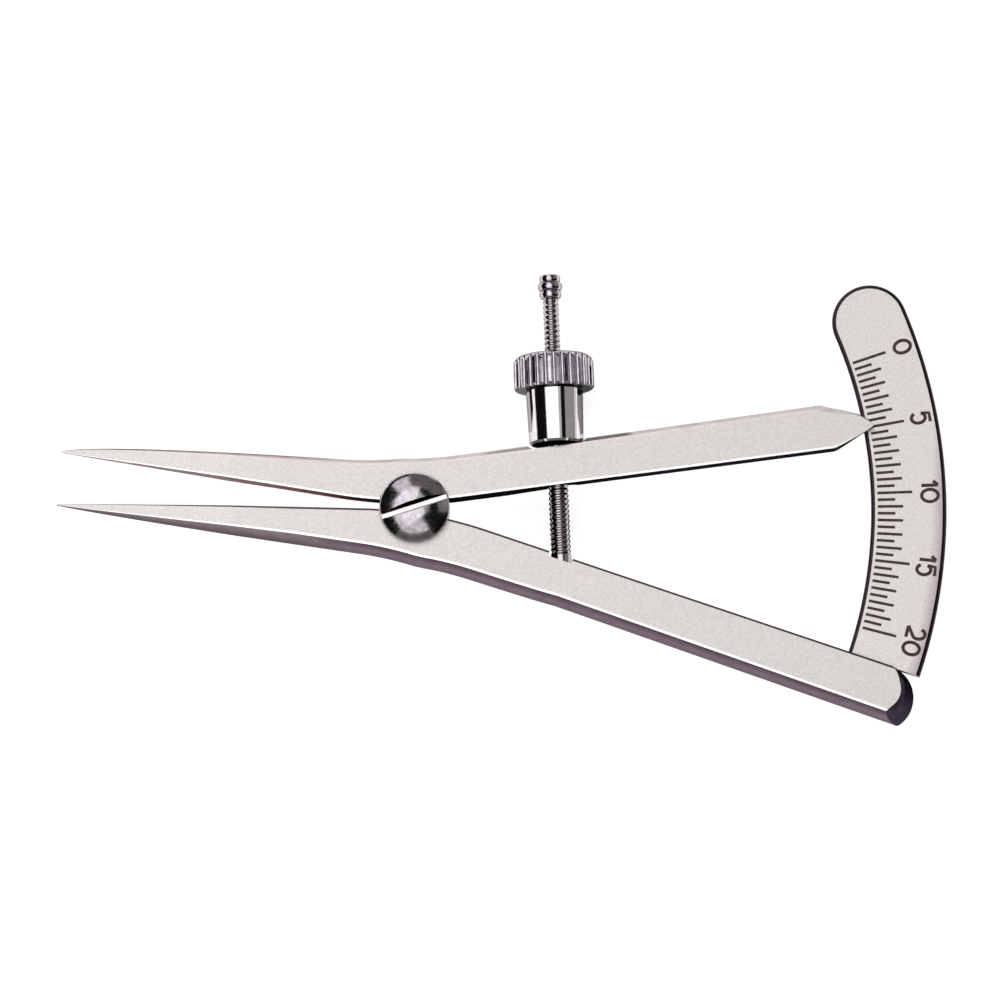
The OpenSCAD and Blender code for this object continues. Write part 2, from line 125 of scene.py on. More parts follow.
class LeverSizes(bpy.types.PropertyGroup):
    """Sizes that the two levers share, and where they differ."""

    tip_radius: length("Tip radius", 34.5, "Distance from the pivot axis to the measuring points")
    reading: length("Reading", 5, "Opening of the points at rest")
    thickness: length("Thickness", 3, "Thickness of both arms")
    tip_w: length("Tip width", 0.12, "Width of a jaw at its point")
    tip_t: length("Tip thickness", 0.25, "Thickness of a jaw at its point")
    fixed_root_w: length("Fixed root width", 4.85, "Width of the fixed lever where jaw and arm meet")
    moving_root_w: length("Moving root width", 4.42, "Width of the moving lever where jaw and arm meet")
    thinning_l: length("Thinning", 16.5, "Length over which a jaw thins towards its point")
    jaw_relief: length("Jaw relief", 0.2, "Gap between the closed jaws at the pivot")
    tip_gap: length("Tip gap", 0.04, "Gap that the closed points keep")
    bend_l: length("Bend", 6, "Half the length over which a lever bends")
    full_side_at: length("Full side", 6, "Place along a lever where its inner side has no relief")
    fixed_waist_w: length("Fixed waist", 4.56, "Width of the fixed arm at the spindle")
    moving_waist_w: length("Moving waist", 4.41, "Width of the moving arm at the spindle")
    fixed_corner: length("Fixed corner", 1.14, "Where its jaw and arm meet, ahead of the pivot")
    moving_corner: length("Moving corner", 1.38, "Where its jaw and arm meet, behind the pivot")
    fixed_past_scale: length("Past the scale", 0.2, "How far the fixed arm runs on past the scale plate")
    fixed_end_w: length("Fixed end width", 5.06, "Width of the fixed arm at its end")
    moving_end_w: length("Moving end width", 4.73, "Width of the moving arm where its pointer starts")
    draft: length("Draft", 0.68, "How far the outer side draws in at the front face")
    back_draft: length("Back draft", 0.15, "How far the outer side draws in at the back")
    swell_h: length("Swell height", 0.6, "Height at which the outer side is widest")
    edge_break: length("Broken edge", 0.2, "Width of the broken edges")
    edge_drop: length("Edge drop", 0.03, "How far a broken edge falls away from the front face")
    relief_w: length("Relief width", 0.35, "Width of the relief along the back of the inner sides")
    relief_h: length("Relief height", 0.95, "Height of that relief")
    full_edge_w: length("Full edge width", 3.25, "Width from which a lever has its full draft and edges")
    lug_r: length("Lug radius", 3.4, "Radius of the half-thickness lugs at the pivot")
    lug_gap: length("Lug gap", 0.06, "Radial gap round a lug")
    lap_gap: length("Lap gap", 0.04, "Gap between the lugs")
    jaw_tilt: angle("Jaw tilt", 1.1, "Angle by which the closed jaws lie above the X axis")
    fixed_bend: angle("Fixed bend", 17.7, "Angle between jaw and arm of the fixed lever")
    moving_bend: angle("Moving bend", 16.96, "Angle between jaw and arm of the moving lever")
    fixed_jaw_power: power("Fixed jaw curve", 0.92, "Power of the curve of the fixed jaw's width")
    moving_jaw_power: power("Moving jaw curve", 0.7, "Power of the curve of the moving jaw's width")
    fixed_arm_power: power("Fixed arm curve", 0.5, "Power by which the fixed arm narrows to its waist")
    moving_arm_power: power("Moving arm curve", 1.7, "Power by which the moving arm narrows to its waist")
    thinning_power: power("Thinning curve", 0.83, "Power of the curve by which a jaw thins")
    draft_power: power("Draft curve", 2.2, "Power of the curve by which the outer side draws in")


class EndSizes(bpy.types.PropertyGroup):
    """Sizes of the fixed arm's rounded end and the moving arm's pointer."""

    end_r: length("End radius", 3.2, "Radius of the fixed arm's end at its back")
    end_r_at: length("End place", 2.9, "Place of that radius across the arm")
    rim_h: length("Rim height", 0.6, "Height of the upright rim below the end's slope")
    face_r: length("Face radius", 2.05, "Radius of the end's front face")
    face_at: length("Face place", 2.5, "Place of that radius across the arm")
    end_draft: length("End draft", 1.4, "How far the end draws in at the front face")
    bevel: length("End bevel", 0.4, "Bevel round the end's front face")
    narrowing_l: length("Narrowing", 6, "Length over which the arm narrows to its end")
    narrowing_w: length("Narrowing width", 1, "How far outside the arm that narrowing starts")
    pointer_at: length("Pointer place", 1.77, "Place of the pointer's tip across the moving arm")
    pointer_l: length("Pointer length", 4.8, "Length of the pointer's outer curve")
    pointer_bevel_l: length("Pointer bevel", 3.9, "Length of the pointer's inner bevel")
    pointer_w: length("Pointer width", 0.16, "Width of the pointer at its point")
    pointer_lap: length("Pointer lap", 0.95, "How far the pointer laps over the scale")
    pointer_gap: length("Pointer gap", 0.15, "Gap between the pointer and the scale")
    undercut_over: length("Undercut", 0.3, "How far its flat underside runs past the plate's edge")
    undercut_l: length("Undercut run", 2.4, "Length over which the cut underside runs out")
    pointer_power: power("Pointer curve", 0.63, "Power of the pointer's curve")
    pointer_bevel_power: power("Bevel curve", 0.85, "Power of the pointer's inner bevel")


class ScaleSizes(bpy.types.PropertyGroup):
    """Sizes of the scale plate and what is engraved on it."""

    inner_r: length("Inner radius", 44, "Radius of the plate's inner edge")
    width: length("Width", 7.3, "Width of the plate")
    tenon_d: length("Tenon depth", 1.2, "Depth of the tenon in the fixed arm")
    tenon_step: length("Tenon step", 0.9, "Step from the plate's inner edge to its tenon")
    tenon_l: length("Tenon length", 4.2, "Length of the tenon along the arm")
    tenon_clear: length("Tenon gap", 0.02, "Gap between the plate and the arm that holds it")
    rim: length("Rim", 0.4, "Bevel round the plate")
    line_w: length("Line width", 0.27, "Width of an engraved line")
    cut_d: length("Cut depth", 0.06, "Depth of the engraving")
    half_start: length("Half lines from", 44.65, "Radius at which the half-millimetre lines start")
    half_end: length("Half lines to", 46.35, "Radius at which the half-millimetre lines end")
    whole_end: length("Millimetre lines to", 47.1, "Radius at which the millimetre lines end")
    fifth_end: length("Fifth lines to", 48, "Radius at which each fifth millimetre's line ends")
    figure_r: length("Figure radius", 49.7, "Radius of the middle of the figures")
    figure_h: length("Figure height", 1.6, "Height of a figure, between the middles of its strokes")
    figure_w: length("Figure width", 1.2, "Width of a figure, between the middles of its strokes")
    figure_gap: length("Figure gap", 0.35, "Space between two figures")
    stroke_w: length("Stroke", 0.43, "Width of a figure's stroke")
    beyond_zero: angle("Beyond zero", 4.0, "Angle from the zero line to the middle of the plate's round end")
    last: count("Last reading", 20, "Largest opening on the scale in millimetres")


class TurnedSizes(bpy.types.PropertyGroup):
    """Sizes of the screw, the spindle, its pin, the sleeve and the nut."""

    head_r: length("Head", 3.38, "Radius of the pivot screw's head")
    head_gap: length("Head gap", 0.02, "Gap under the head")
    head_rim_h: length("Head rim", 0.95, "Height of its straight rim")
    head_dome_h: length("Head dome", 0.95, "Height of its dome over the rim")
    head_edge: length("Head edge", 0.22, "Rounding between rim and dome")
    shank_r: length("Shank", 1.4, "Radius of the screw's shank")
    shank_clear: length("Shank gap", 0.03, "Radial gap round the shank in the turning lug")
    seat_clear: length("Seat gap", 0.01, "Radial gap round a part that is held tight")
    driver_slot_w: length("Driver slot", 0.98, "Width of the screwdriver slot at the top of the dome")
    driver_slot_floor_w: length("Driver slot floor", 0.4, "Width of the slot's floor")
    driver_slot_d: length("Driver slot depth", 0.95, "Depth of the slot below the top of the dome")
    pitch: length("Pitch", 0.5, "Pitch of the spindle's thread")
    thread_d: length("Thread depth", 0.11, "Depth of the thread")
    plain_l: length("Plain eye", 1.4, "Length of the spindle's plain eye past the pin")
    swing_clear: length("Swing gap", 0.06, "Gap between the spindle and the slots that it swings in")
    pin_r: length("Pin", 0.4, "Radius of the spindle's pin")
    pin_clear: length("Pin gap", 0.03, "Radial gap round the pin in the spindle")
    pin_depth: length("Pin depth", 1.15, "Depth of the pin below the fixed arm's inner edge")
    pin_cover: length("Pin cover", 0.25, "Metal over the blind end of the pin's hole")
    mouth_r: length("Mouth", 1.9, "Radius of the countersink at the mouth of the spindle's slot")
    mouth_d: length("Mouth depth", 0.5, "Depth of that countersink")
    stop_h: length("Stop height", 2.3, "Height of the stop at the spindle's free end")
    mark_r: length("Centre mark", 0.5, "Radius of the centre mark in the stop")
    flute_r: length("Flute", 0.27, "Radius of a flute on the nut")
    nut_h: length("Nut height", 3.35, "Height of the nut")
    nut_drop: length("Nut drop", 0.12, "How much lower than its solid the nut stands on the sleeve")
    nut_round: length("Nut round", 0.9, "Radius of the nut's rounded top edge")
    nut_bevel: length("Nut bevel", 0.2, "Bevel of the nut's lower edge")
    nut_clear: length("Nut gap", 0.02, "Radial gap between the nut and the spindle")
    sleeve_foot_r: length("Sleeve foot", 2.62, "Radius of the sleeve at its foot")
    sleeve_bevel: length("Sleeve bevel", 0.12, "Bevel of the sleeve's top edge")
    seat_d: length("Seat depth", 0.85, "How far the sleeve's foot stands down in its milled seat")
    seat_room: length("Seat room", 0.25, "Room round the foot in that seat")
    foot_gap: length("Foot gap", 0.2, "Gap that the travel of the sleeve starts from")
    foot_dome_r: length("Foot dome", 14, "Radius of the sleeve's domed foot")
    foot_bevel: length("Foot bevel", 0.2, "Bevel round that foot")
    sleeve_clear: length("Sleeve gap", 0.08, "Radial gap between the sleeve and the spindle")
    driver_slot_angle: angle("Slot angle", 18, "Direction of the screwdriver slot")
    flutes: count("Flutes", 30, "Number of flutes on the nut")


class FinishColours(bpy.types.PropertyGroup):
    """Colours of the finishes."""

    satin: colour("Satin face", "#E4DFDC", "Bead-blasted stainless steel of the levers' faces")
    plate: colour("Plate", "#EBE5E1", "Bead-blasted stainless steel of the scale plate's face")
    # Painted light and shade: the ground sides' tones below are darkened on the fixed lever, most next to
    # its back and its front face, and lighter on the moving lever, a lit copy, with painted shade at the
    # back of its jaw.
    lower_side: colour("Lower side", "#84747F", "Ground outer side of the fixed arm")
    lower_side_edge: colour("Lower side, front", "#504048", "That side next to the front face")
    lower_side_back: colour("Lower side, back", "#3A2E40", "That side next to the back")
    lower_jaw: colour("Lower jaw", "#8E8187", "Ground outer side of the fixed jaw, next to the front face")
    lower_jaw_back: colour("Lower jaw, back", "#4C4047", "That side next to the back")
    upper_side: colour("Upper side", "#DCD4D2", "Ground outer side of the moving lever")
    upper_jaw_back: colour("Upper jaw, back", "#7E6764", "Outer side of the moving jaw next to the back")
    # Painted shade: the wall tones below darken the milled inner walls, black at the pivot, dark along the
    # arms and lighter towards the jaws' points.
    wall: colour("Wall at the pivot", "#0A0809", "Milled inner walls, black with old oil")
    jaw_wall: colour("Wall of a jaw", "#B8A9AB", "Milled inner wall of a jaw at its point")
    root_wall: colour("Wall of a jaw's root", "#A28A89", "Milled inner wall of a jaw at its root")
    arm_wall: colour("Wall of an arm", "#4A4450", "Milled inner wall of an arm")
    # Painted highlight: the white of the broken edges stands in for light caught along them.
    edge: colour("Broken edge", "#FFFFFF", "Stoned edges that catch the light")
    # Painted shade: the dull edge's dark tone is a painted shade line.
    inner_edge: colour("Dull edge", "#54474B", "Stoned edges that stayed dull")
    # Painted shade: the dark tone of the plate's bevel is a painted shade line round its edge.
    plate_edge: colour("Plate's edge", "#3C3238", "Edge of the scale plate, dark with the engraver's paint")
    # Painted shade: the plate's face is tinted darker towards its outer edge, more on its lower part.
    plate_shade: colour("Plate's shade", "#C9BFCB", "Tint of its face where it falls off to the outer edge")
    bright: colour("Polished steel", "#EDE8EC", "Polished stainless steel of the sleeve")
    nut: colour("Buffed nut", "#D2CAD1", "Buffed stainless steel of the nut and the stop")
    thread: colour("Cut thread", "#CFC8CA", "Cut stainless steel of the spindle")
    screw: colour("Screw head", "#D4CCD2", "Turned and polished screw head")
    # Painted highlight: the slot floor's light tone stands in for the light that it reflects.
    slot_floor: colour("Slot floor", "#EFEBEC", "Bright floor of the screwdriver slot")
    fill: colour("Engraving", "#4E3D3B", "Dark paint in the engraving")
    floor: colour("Floor", "#F4F4F4", "Matt floor")


GROUPS = {
    "caliper_levers": LeverSizes,
    "caliper_ends": EndSizes,
    "caliper_scale": ScaleSizes,
    "caliper_turned": TurnedSizes,
    "caliper_finishes": FinishColours,
}


def settings():
    """The five groups of settings, in the order of GROUPS."""
    return [getattr(bpy.context.scene, name) for name in GROUPS]


# Finishes


def new_node(tree, kind, links=None, **values):
    """Adds a node. Links join sockets to its inputs, and values set its settings, or else its inputs."""
    node = tree.nodes.new(kind)
    for name, value in values.items():
        if name in node.bl_rna.properties:
            setattr(node, name, value)
        else:
            node.inputs[name.replace("_", " ")].default_value = value
    for name, socket in (links or {}).items():
        tree.links.new(socket, node.inputs[name])
    return node


def blank_material(name):
    """A material with an empty node tree."""
    material = bpy.data.materials.new(name)
    material.use_nodes = True
    material.node_tree.nodes.clear()
    return material


def ramp(tree, value, start, end, tones):
    """Colours spread evenly over a stretch of a coordinate."""
    share = new_node(tree, "ShaderNodeMapRange", {"Value": value}, From_Min=start, From_Max=end)
    made = new_node(tree, "ShaderNodeValToRGB", {"Fac": share.outputs["Result"]})
    elements = made.color_ramp.elements
    elements[0].color, elements[1].color = (*tones[0], 1), (*tones[-1], 1)
    for number, tone in enumerate(tones[1:-1], 1):
        elements.new(number / (len(tones) - 1)).color = (*tone, 1)
    return made.outputs["Color"]


def cloudy(tree, value, tones):
    """A colour that goes with a pattern's value between two (value, tone) pairs."""
    made = new_node(tree, "ShaderNodeValToRGB", {"Fac": value})
    for element, (position, tone) in zip(made.color_ramp.elements, tones):
        element.position = position
        element.color = (*tone, 1)
    return made.outputs["Color"]


def steel(name, tone, deep, rough, spread, cloud, grain, depth, stretch=(1, 1, 1), turn=0.0, tint=None,
          glance=1.0):
    """Bare steel: clouds drift from a tone to a deeper share of it, and a grain breaks up gloss and surface.

    Cloud, grain and depth are real sizes in millimetres. Stretch draws the grain out along an axis, and turn
    swings it about Z. A tint is a function of the node tree and the place, and its colour is multiplied in.
    Glance is how much light the surface sends back at a low angle, where bare metal turns white. It is None
    when the surface's own tone says so."""
    material = blank_material(name)
    tree = material.node_tree
    place = new_node(tree, "ShaderNodeTexCoord").outputs["Object"]
    way = new_node(tree, "ShaderNodeMapping", {"Vector": place}, Scale=stretch, Rotation=(0, 0, turn))
    clouds = new_node(tree, "ShaderNodeTexNoise", {"Vector": place}, Scale=1 / (cloud * MM), Detail=4.0,
                      Roughness=0.6)
    grains = new_node(tree, "ShaderNodeTexNoise", {"Vector": way.outputs["Vector"]}, Scale=1 / (grain * MM),
                      Detail=3.0)
    shade = cloudy(tree, clouds.outputs["Fac"], [(0.35, [deep * c for c in tone]), (0.65, tone)])
    if tint:
        shade = new_node(tree, "ShaderNodeMix", {6: shade, 7: tint(tree, place)}, data_type="RGBA",
                         blend_type="MULTIPLY", Factor=1.0).outputs[2]
    gloss = new_node(tree, "ShaderNodeMapRange", {"Value": grains.outputs["Fac"]},
                     From_Min=0.3, From_Max=0.7, To_Min=rough - spread, To_Max=rough + spread)
    bump = new_node(tree, "ShaderNodeBump", {"Height": grains.outputs["Fac"]}, Strength=0.5,
                    Distance=depth * MM)
    shader = new_node(
        tree, "ShaderNodeBsdfPrincipled",
        {"Base Color": shade, "Roughness": gloss.outputs["Result"], "Normal": bump.outputs["Normal"]},
        Metallic=1.0, Specular_Tint=(*[1.0 if glance is None else glance] * 3, 1),
    )
    if glance is None:
        tree.links.new(shade, shader.inputs["Specular Tint"])
    new_node(tree, "ShaderNodeOutputMaterial", {"Surface": shader.outputs["BSDF"]})
    return material


def bead_blasted_steel(tone, tint=None):
    """Bead-blasted stainless steel: an even satin that spreads the light, with a fine grain."""
    return steel("bead_blasted_stainless", tone, 0.85, rough=0.42, spread=0.06, cloud=0.22, grain=0.12,
                 depth=0.004, tint=tint)


def plate_steel(finishes, outer_r):
    """The plate's bead-blasted face, with painted shade where its lower part falls off to its outer edge."""
    shade_start, shade_end = outer_r - 1.5 * MM, outer_r - 0.2 * MM
    full_below, none_above, fade = 2 * MM, 14 * MM, 1.6 * MM

    def tint(tree, place):
        flat = new_node(tree, "ShaderNodeVectorMath", {0: place}, operation="MULTIPLY")
        flat.inputs[1].default_value = (1, 1, 0)
        radius = new_node(tree, "ShaderNodeVectorMath", {0: flat.outputs[0]}, operation="LENGTH")
        rise = new_node(tree, "ShaderNodeSeparateXYZ", {"Vector": place})
        off = new_node(tree, "ShaderNodeMapRange", {"Value": rise.outputs["Y"]}, From_Min=full_below,
                       From_Max=none_above, To_Max=fade)
        inside = new_node(tree, "ShaderNodeMath", {0: radius.outputs["Value"], 1: off.outputs["Result"]},
                          operation="SUBTRACT")
        return ramp(tree, inside.outputs[0], shade_start, shade_end, [(1, 1, 1), finishes.plate_shade])

    return bead_blasted_steel(finishes.plate, tint)


def ground_steel(jaw_tones, arm_tones, tall, turn, glance):
    """Stainless steel ground on a belt: fine lines along the arm, and tones of painted light and shade that
    go from back to front.
    """
    jaw_until, arm_from = -13 * MM, -5 * MM

    def tint(tree, place):
        spot = new_node(tree, "ShaderNodeSeparateXYZ", {"Vector": place})
        jaw, arm = (ramp(tree, spot.outputs["Z"], 0, tall, tones) for tones in (jaw_tones, arm_tones))
        share = new_node(tree, "ShaderNodeMapRange", {"Value": spot.outputs["X"]}, From_Min=jaw_until,
                         From_Max=arm_from)
        mixed = {0: share.outputs["Result"], 6: jaw, 7: arm}
        return new_node(tree, "ShaderNodeMix", mixed, data_type="RGBA").outputs[2]

    return steel("belt_ground_stainless", (1, 1, 1), 0.84, rough=0.34, spread=0.08, cloud=1.5, grain=0.1,
                 depth=0.004, stretch=(0.05, 1, 1), turn=turn, tint=tint, glance=glance)


def milled_steel(finishes):
    """Milled stainless steel left as cut, with painted shade along the walls: dull brown along the jaws,
    black at the pivot.
    """
    tones = [finishes.jaw_wall] * 2 + [finishes.root_wall] + [finishes.wall] * 2 + [finishes.arm_wall] * 2
    spread_l = 33 * MM

    def tint(tree, place):
        along = new_node(tree, "ShaderNodeSeparateXYZ", {"Vector": place}).outputs["X"]
        return ramp(tree, along, -spread_l, spread_l, tones)

    return steel("milled_stainless_shade", (1, 1, 1), 0.75, rough=0.4, spread=0.1, cloud=1, grain=0.15,
                 depth=0.005, tint=tint, glance=None)


def stoned_edge(tone):
    """Edge broken with an oilstone: a thin line round each face, whose tone is painted light, a painted
    highlight where it is lighter than the face and a painted shade where it is darker.
    """
    return steel("stoned_edge", tone, 0.88, rough=0.3, spread=0.06, cloud=0.8, grain=0.1, depth=0.002)


def polished_steel(finishes):
    """Polished stainless steel: sharp reflections with a trace of the lathe."""
    return steel("polished_stainless", finishes.bright, 0.9, rough=0.08, spread=0.03, cloud=0.9, grain=0.12,
                 depth=0.001, stretch=(0.15, 1, 0.15), glance=0.45)


def buffed_steel(finishes):
    """Stainless steel buffed after its flutes were milled: soft stripes of light between darker flutes."""
    return steel("buffed_stainless", finishes.nut, 0.7, rough=0.14, spread=0.05, cloud=0.7, grain=0.15,
                 depth=0.003, glance=0.3)


def thread_steel(finishes):
    """Stainless steel cut with a die: bright crests, dark flanks."""
    return steel("die_cut_stainless", finishes.thread, 0.8, rough=0.13, spread=0.03, cloud=0.6, grain=0.08,
                 depth=0.001, glance=0.25)


def screw_steel(finishes):
    """Screw head, turned and buffed by hand: cloudy, with soft scratches."""
    return steel("buffed_screw_steel", finishes.screw, 0.62, rough=0.15, spread=0.06, cloud=0.6, grain=0.2,
                 depth=0.005, glance=0.5)


def engraving_paint(finishes):
    """Dark paint wiped into the engraving: matt, a little uneven."""
    material = blank_material("engraving_paint")
    tree = material.node_tree
    place = new_node(tree, "ShaderNodeTexCoord").outputs["Object"]
    wear_size = 0.4 * MM
    wear = new_node(tree, "ShaderNodeTexNoise", {"Vector": place}, Scale=1 / wear_size, Detail=3.0)
    worn = [min(1, 1.8 * c) for c in finishes.fill]
    tone = cloudy(tree, wear.outputs["Fac"], [(0.35, finishes.fill), (0.75, worn)])
    shader = new_node(tree, "ShaderNodeBsdfPrincipled", {"Base Color": tone}, Roughness=0.75)
    new_node(tree, "ShaderNodeOutputMaterial", {"Surface": shader.outputs["BSDF"]})
    return material


# Making and joining meshes


def add_object(name, data):
    """A new object in the scene, for a mesh, curve, light or camera."""
    made = bpy.data.objects.new(name, data)
    bpy.context.scene.collection.objects.link(made)
    return made


def mesh_object(name, bm, materials=()):
    """An object made of a bmesh, whose faces are turned outwards."""
    bmesh.ops.recalc_face_normals(bm, faces=bm.faces)
    mesh = bpy.data.meshes.new(name)
    bm.to_mesh(mesh)
    bm.free()
    for material in materials:
        mesh.materials.append(material)
    return add_object(name, mesh)


def combine(piece, other, operation="DIFFERENCE", crossed=False):
    """Cuts another object out of the piece, or joins it on, and drops the other, which may cross itself."""
    step = piece.modifiers.new("Combine", "BOOLEAN")
    step.operation = operation
    step.solver = "EXACT"
    step.use_self = crossed
    step.material_mode = "TRANSFER"
    step.object = other
    piece_now = piece.evaluated_get(bpy.context.evaluated_depsgraph_get())
    mesh = bpy.data.meshes.new_from_object(piece_now)
    piece.modifiers.clear()
    old = piece.data
    piece.data = mesh
    bpy.data.meshes.remove(old)
    bpy.data.meshes.remove(other.data)


def dress(piece, body, node, crease=25):
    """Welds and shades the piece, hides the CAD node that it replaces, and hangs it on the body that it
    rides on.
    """
    mesh = piece.data
    mesh.name = piece.name
    bm = bmesh.new()
    bm.from_mesh(mesh)
    bmesh.ops.remove_doubles(bm, verts=bm.verts, dist=WELD / 10)
    bm.to_mesh(mesh)
    bm.free()
    mesh.shade_smooth()
    mesh.set_sharp_from_angle(angle=math.radians(crease))
    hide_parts(node)
    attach(piece, body)


def disc_cutter(radius, low, high, at=(0, 0), material=None, segments=128):
    """An upright cylinder between two heights."""
    bm = bmesh.new()
    place = Matrix.Translation((*at, (low + high) / 2))
    bmesh.ops.create_cone(bm, cap_ends=True, segments=segments, radius1=radius, radius2=radius,
                          depth=high - low, matrix=place)
    return mesh_object("cutter", bm, [material] if material else [])


def bore_through(piece, radius, tall, at, material, segments=128):
    """Drills an upright hole through a piece that stands on the XY plane."""
    combine(piece, disc_cutter(radius, -MM, tall + MM, at, material, segments))


def box_cutter(low, high, place=Matrix(), material=None):
    """A box between two corners, in the frame of a placing matrix."""
    low, high = Vector(low), Vector(high)
    bm = bmesh.new()
    size = Matrix.Diagonal((*(high - low), 1))
    bmesh.ops.create_cube(bm, size=1, matrix=place @ Matrix.Translation((low + high) / 2) @ size)
    return mesh_object("cutter", bm, [material] if material else [])


def spun(points, angle, steps, climb=0.0, closed=False):
    """A line of points spun about Z, which climbs at each step as a thread does or closes on itself."""
    bm = bmesh.new()
    verts = [bm.verts.new(point) for point in points]
    edges = [bm.edges.new(pair) for pair in zip(verts, verts[1:])]
    bmesh.ops.spin(bm, geom=verts + edges, cent=(0, 0, 0), axis=(0, 0, 1), dvec=(0, 0, climb), angle=angle,
                   steps=steps, use_merge=closed)
    return bm


def revolved(profile, place=Matrix(), steps=128):
    """A profile of (radius, height) points, spun about Z and put in place."""
    bm = spun([(radius, 0, height) for radius, height in profile], FULL_TURN, steps, closed=True)
    bmesh.ops.remove_doubles(bm, verts=bm.verts, dist=WELD)
    bmesh.ops.transform(bm, matrix=place, verts=bm.verts)
    return bm


def slice_off(bm, at, way):
    """Cuts away what lies past a plane."""
    everything = bm.verts[:] + bm.edges[:] + bm.faces[:]
    bmesh.ops.bisect_plane(bm, geom=everything, plane_co=at, plane_no=way, clear_outer=True)


def arc(centre, radius, start, end, steps):
    """Points of an arc in a plane, from one angle to another."""
    angles = (start + (end - start) * i / steps for i in range(steps + 1))
    return [(centre[0] + radius * math.cos(a), centre[1] + radius * math.sin(a)) for a in angles]


def circle(centre, radius):
    """Points round a full circle in a plane."""
    return arc(centre, radius, 0, FULL_TURN, ROUND_STEPS)[:-1]


def disc_points(centre, radius, low, high):
    """Points on both rims of an upright disc."""
    return [(*spot, height) for spot in circle(centre, radius) for height in (low, high)]


def hull(points, place=Matrix()):
    """The convex hull of points, put in place."""
    bm = bmesh.new()
    for point in points:
        bm.verts.new(point)
    found = bmesh.ops.convex_hull(bm, input=bm.verts)
    bmesh.ops.delete(bm, geom=found["geom_interior"], context="VERTS")
    bmesh.ops.transform(bm, matrix=place, verts=bm.verts)
    return bm


def cut_hull(piece, points, material, place=Matrix()):
    """Cuts the convex hull of points out of the piece."""
    combine(piece, mesh_object("cutter", hull(points, place), [material]))


def standing_on(origin, way):
    """Matrix that stands Z along a direction, from an origin."""
    return Matrix.Translation(origin) @ way.to_track_quat("Z", "X").to_matrix().to_4x4()


def node_spots(node, origin, way):
    """A CAD node's vertices, as how far each lies along a line and away from it."""
    points = [v.co - origin for v in frame["nodes"][node].data.vertices]
    return [(p.dot(way), (p - p.dot(way) * way).length) for p in points]


def reach(node, origin, way):
    """How far a CAD node reaches along a line, least and most, and its largest radius about the line."""
    along, across = zip(*node_spots(node, origin, way))
    return min(along), max(along), max(across)


# Levers


# One lever's sizes. Its side is 1 for the upper one and -1 for the lower one.
Lever = namedtuple("Lever", "pointed side turn bend corner waist_along end_along root_w waist_w end_w "
                            "jaw_power arm_power")


def jaw_edge(levers, x):
    """Height of a jaw's inner edge over the line through the pivot."""
    return levers.tip_gap / 2 + levers.jaw_relief / 2 * (1 + x / levers.tip_radius)


def inner_offset(levers, bend, corner):
    """Distance of an arm's inner edge from the pivot axis."""
    return jaw_edge(levers, corner) * math.cos(bend) - corner * math.sin(bend)


def path_at(levers, along, bend, corner):
    """Place on a lever's path that lies a given length along the arm from the pivot."""
    return along - corner * math.cos(bend) - jaw_edge(levers, corner) * math.sin(bend)


def path_point(levers, lever, s):
    """Point and direction of a lever's inner edge: straight jaw, parabola, straight arm."""
    corner = Vector((lever.corner, jaw_edge(levers, lever.corner)))
    arm_way = Vector((math.cos(lever.bend), math.sin(lever.bend)))
    span = levers.bend_l

    def jaw(q):
        return Vector((lever.corner + q, jaw_edge(levers, lever.corner + q)))

    if s <= -span:
        return jaw(s), 0.0
    if s >= span:
        return corner + s * arm_way, lever.bend
    t = (s + span) / (2 * span)
    point = (1 - t) ** 2 * jaw(-span) + 2 * t * (1 - t) * corner + t * t * (corner + span * arm_way)
    return point, math.atan2(t * arm_way.y, 1 - t + t * arm_way.x)


def lever_width(levers, lever, s, s_tip, s_end):
    """Width of a lever square to its inner edge."""
    if s < 0:
        return levers.tip_w + (lever.root_w - levers.tip_w) * max(0, 1 - s / s_tip) ** lever.jaw_power
    s_waist = path_at(levers, lever.waist_along, lever.bend, lever.corner)
    if s < s_waist:
        return lever.waist_w + (lever.root_w - lever.waist_w) * (1 - s / s_waist) ** lever.arm_power
    return lever.waist_w + (lever.end_w - lever.waist_w) * (s - s_waist) / (s_end - s_waist)


FACE, WALL, SIDE, EDGE, RIM = range(5)
DRAFT_STEPS = 8
RAIL_FINISHES = [WALL, WALL, EDGE, FACE, RIM] + [SIDE] * DRAFT_STEPS + [SIDE, SIDE, FACE]


def relief_share(levers, s):
    """How much of the back relief a lever has: none just past the pivot, all of it along jaw and arm."""
    return min(1, max(0, (abs(s - levers.full_side_at) - levers.bend_l / 2) / levers.bend_l))


def section(levers, inner, outer, low, high, relief):
    """Outline across a lever as (offset, height) points, one for each of RAIL_FINISHES."""
    tall = high - low
    share = min(1, tall / levers.thickness, (outer - inner) / levers.full_edge_w)
    e, d, back = levers.edge_break * share, levers.draft * share, levers.back_draft * share
    back_w, back_h = max(e, levers.relief_w * share * relief), max(e, levers.relief_h * share * relief)
    swell = levers.swell_h / levers.thickness
    drop = levers.edge_drop * share
    top = 1 - drop / (tall * (1 - swell))
    points = [(inner + back_w, low), (inner, low + back_h), (inner, high - drop), (inner + e, high),
              (outer - d - e, high)]
    for i in range(DRAFT_STEPS + 1):
        h = top * (1 - i / DRAFT_STEPS)
        points.append((outer - d * h**levers.draft_power, low + tall * (swell + (1 - swell) * h)))
    return points + [(outer - back, low + e), (outer - back - e, low)]


def lever_stations(levers, ends, s_tip, s_end, pointed):
    """Places along a lever's path at which it has a section, close where it curves."""
    jaw_steps, arm_steps, end_steps = 60, 60, 24
    s_curve = s_end - (ends.pointer_l if pointed else 0)
    span = levers.bend_l
    stations = [s_tip - (s_tip + span) * (i / jaw_steps) ** 1.5 for i in range(jaw_steps)]
    stations += [-span + (s_curve + span) * i / arm_steps for i in range(arm_steps + 1)]
    if pointed:
        stations += [s_end - ends.pointer_l * (1 - i / end_steps) ** 2 for i in range(1, end_steps + 1)]
    return stations


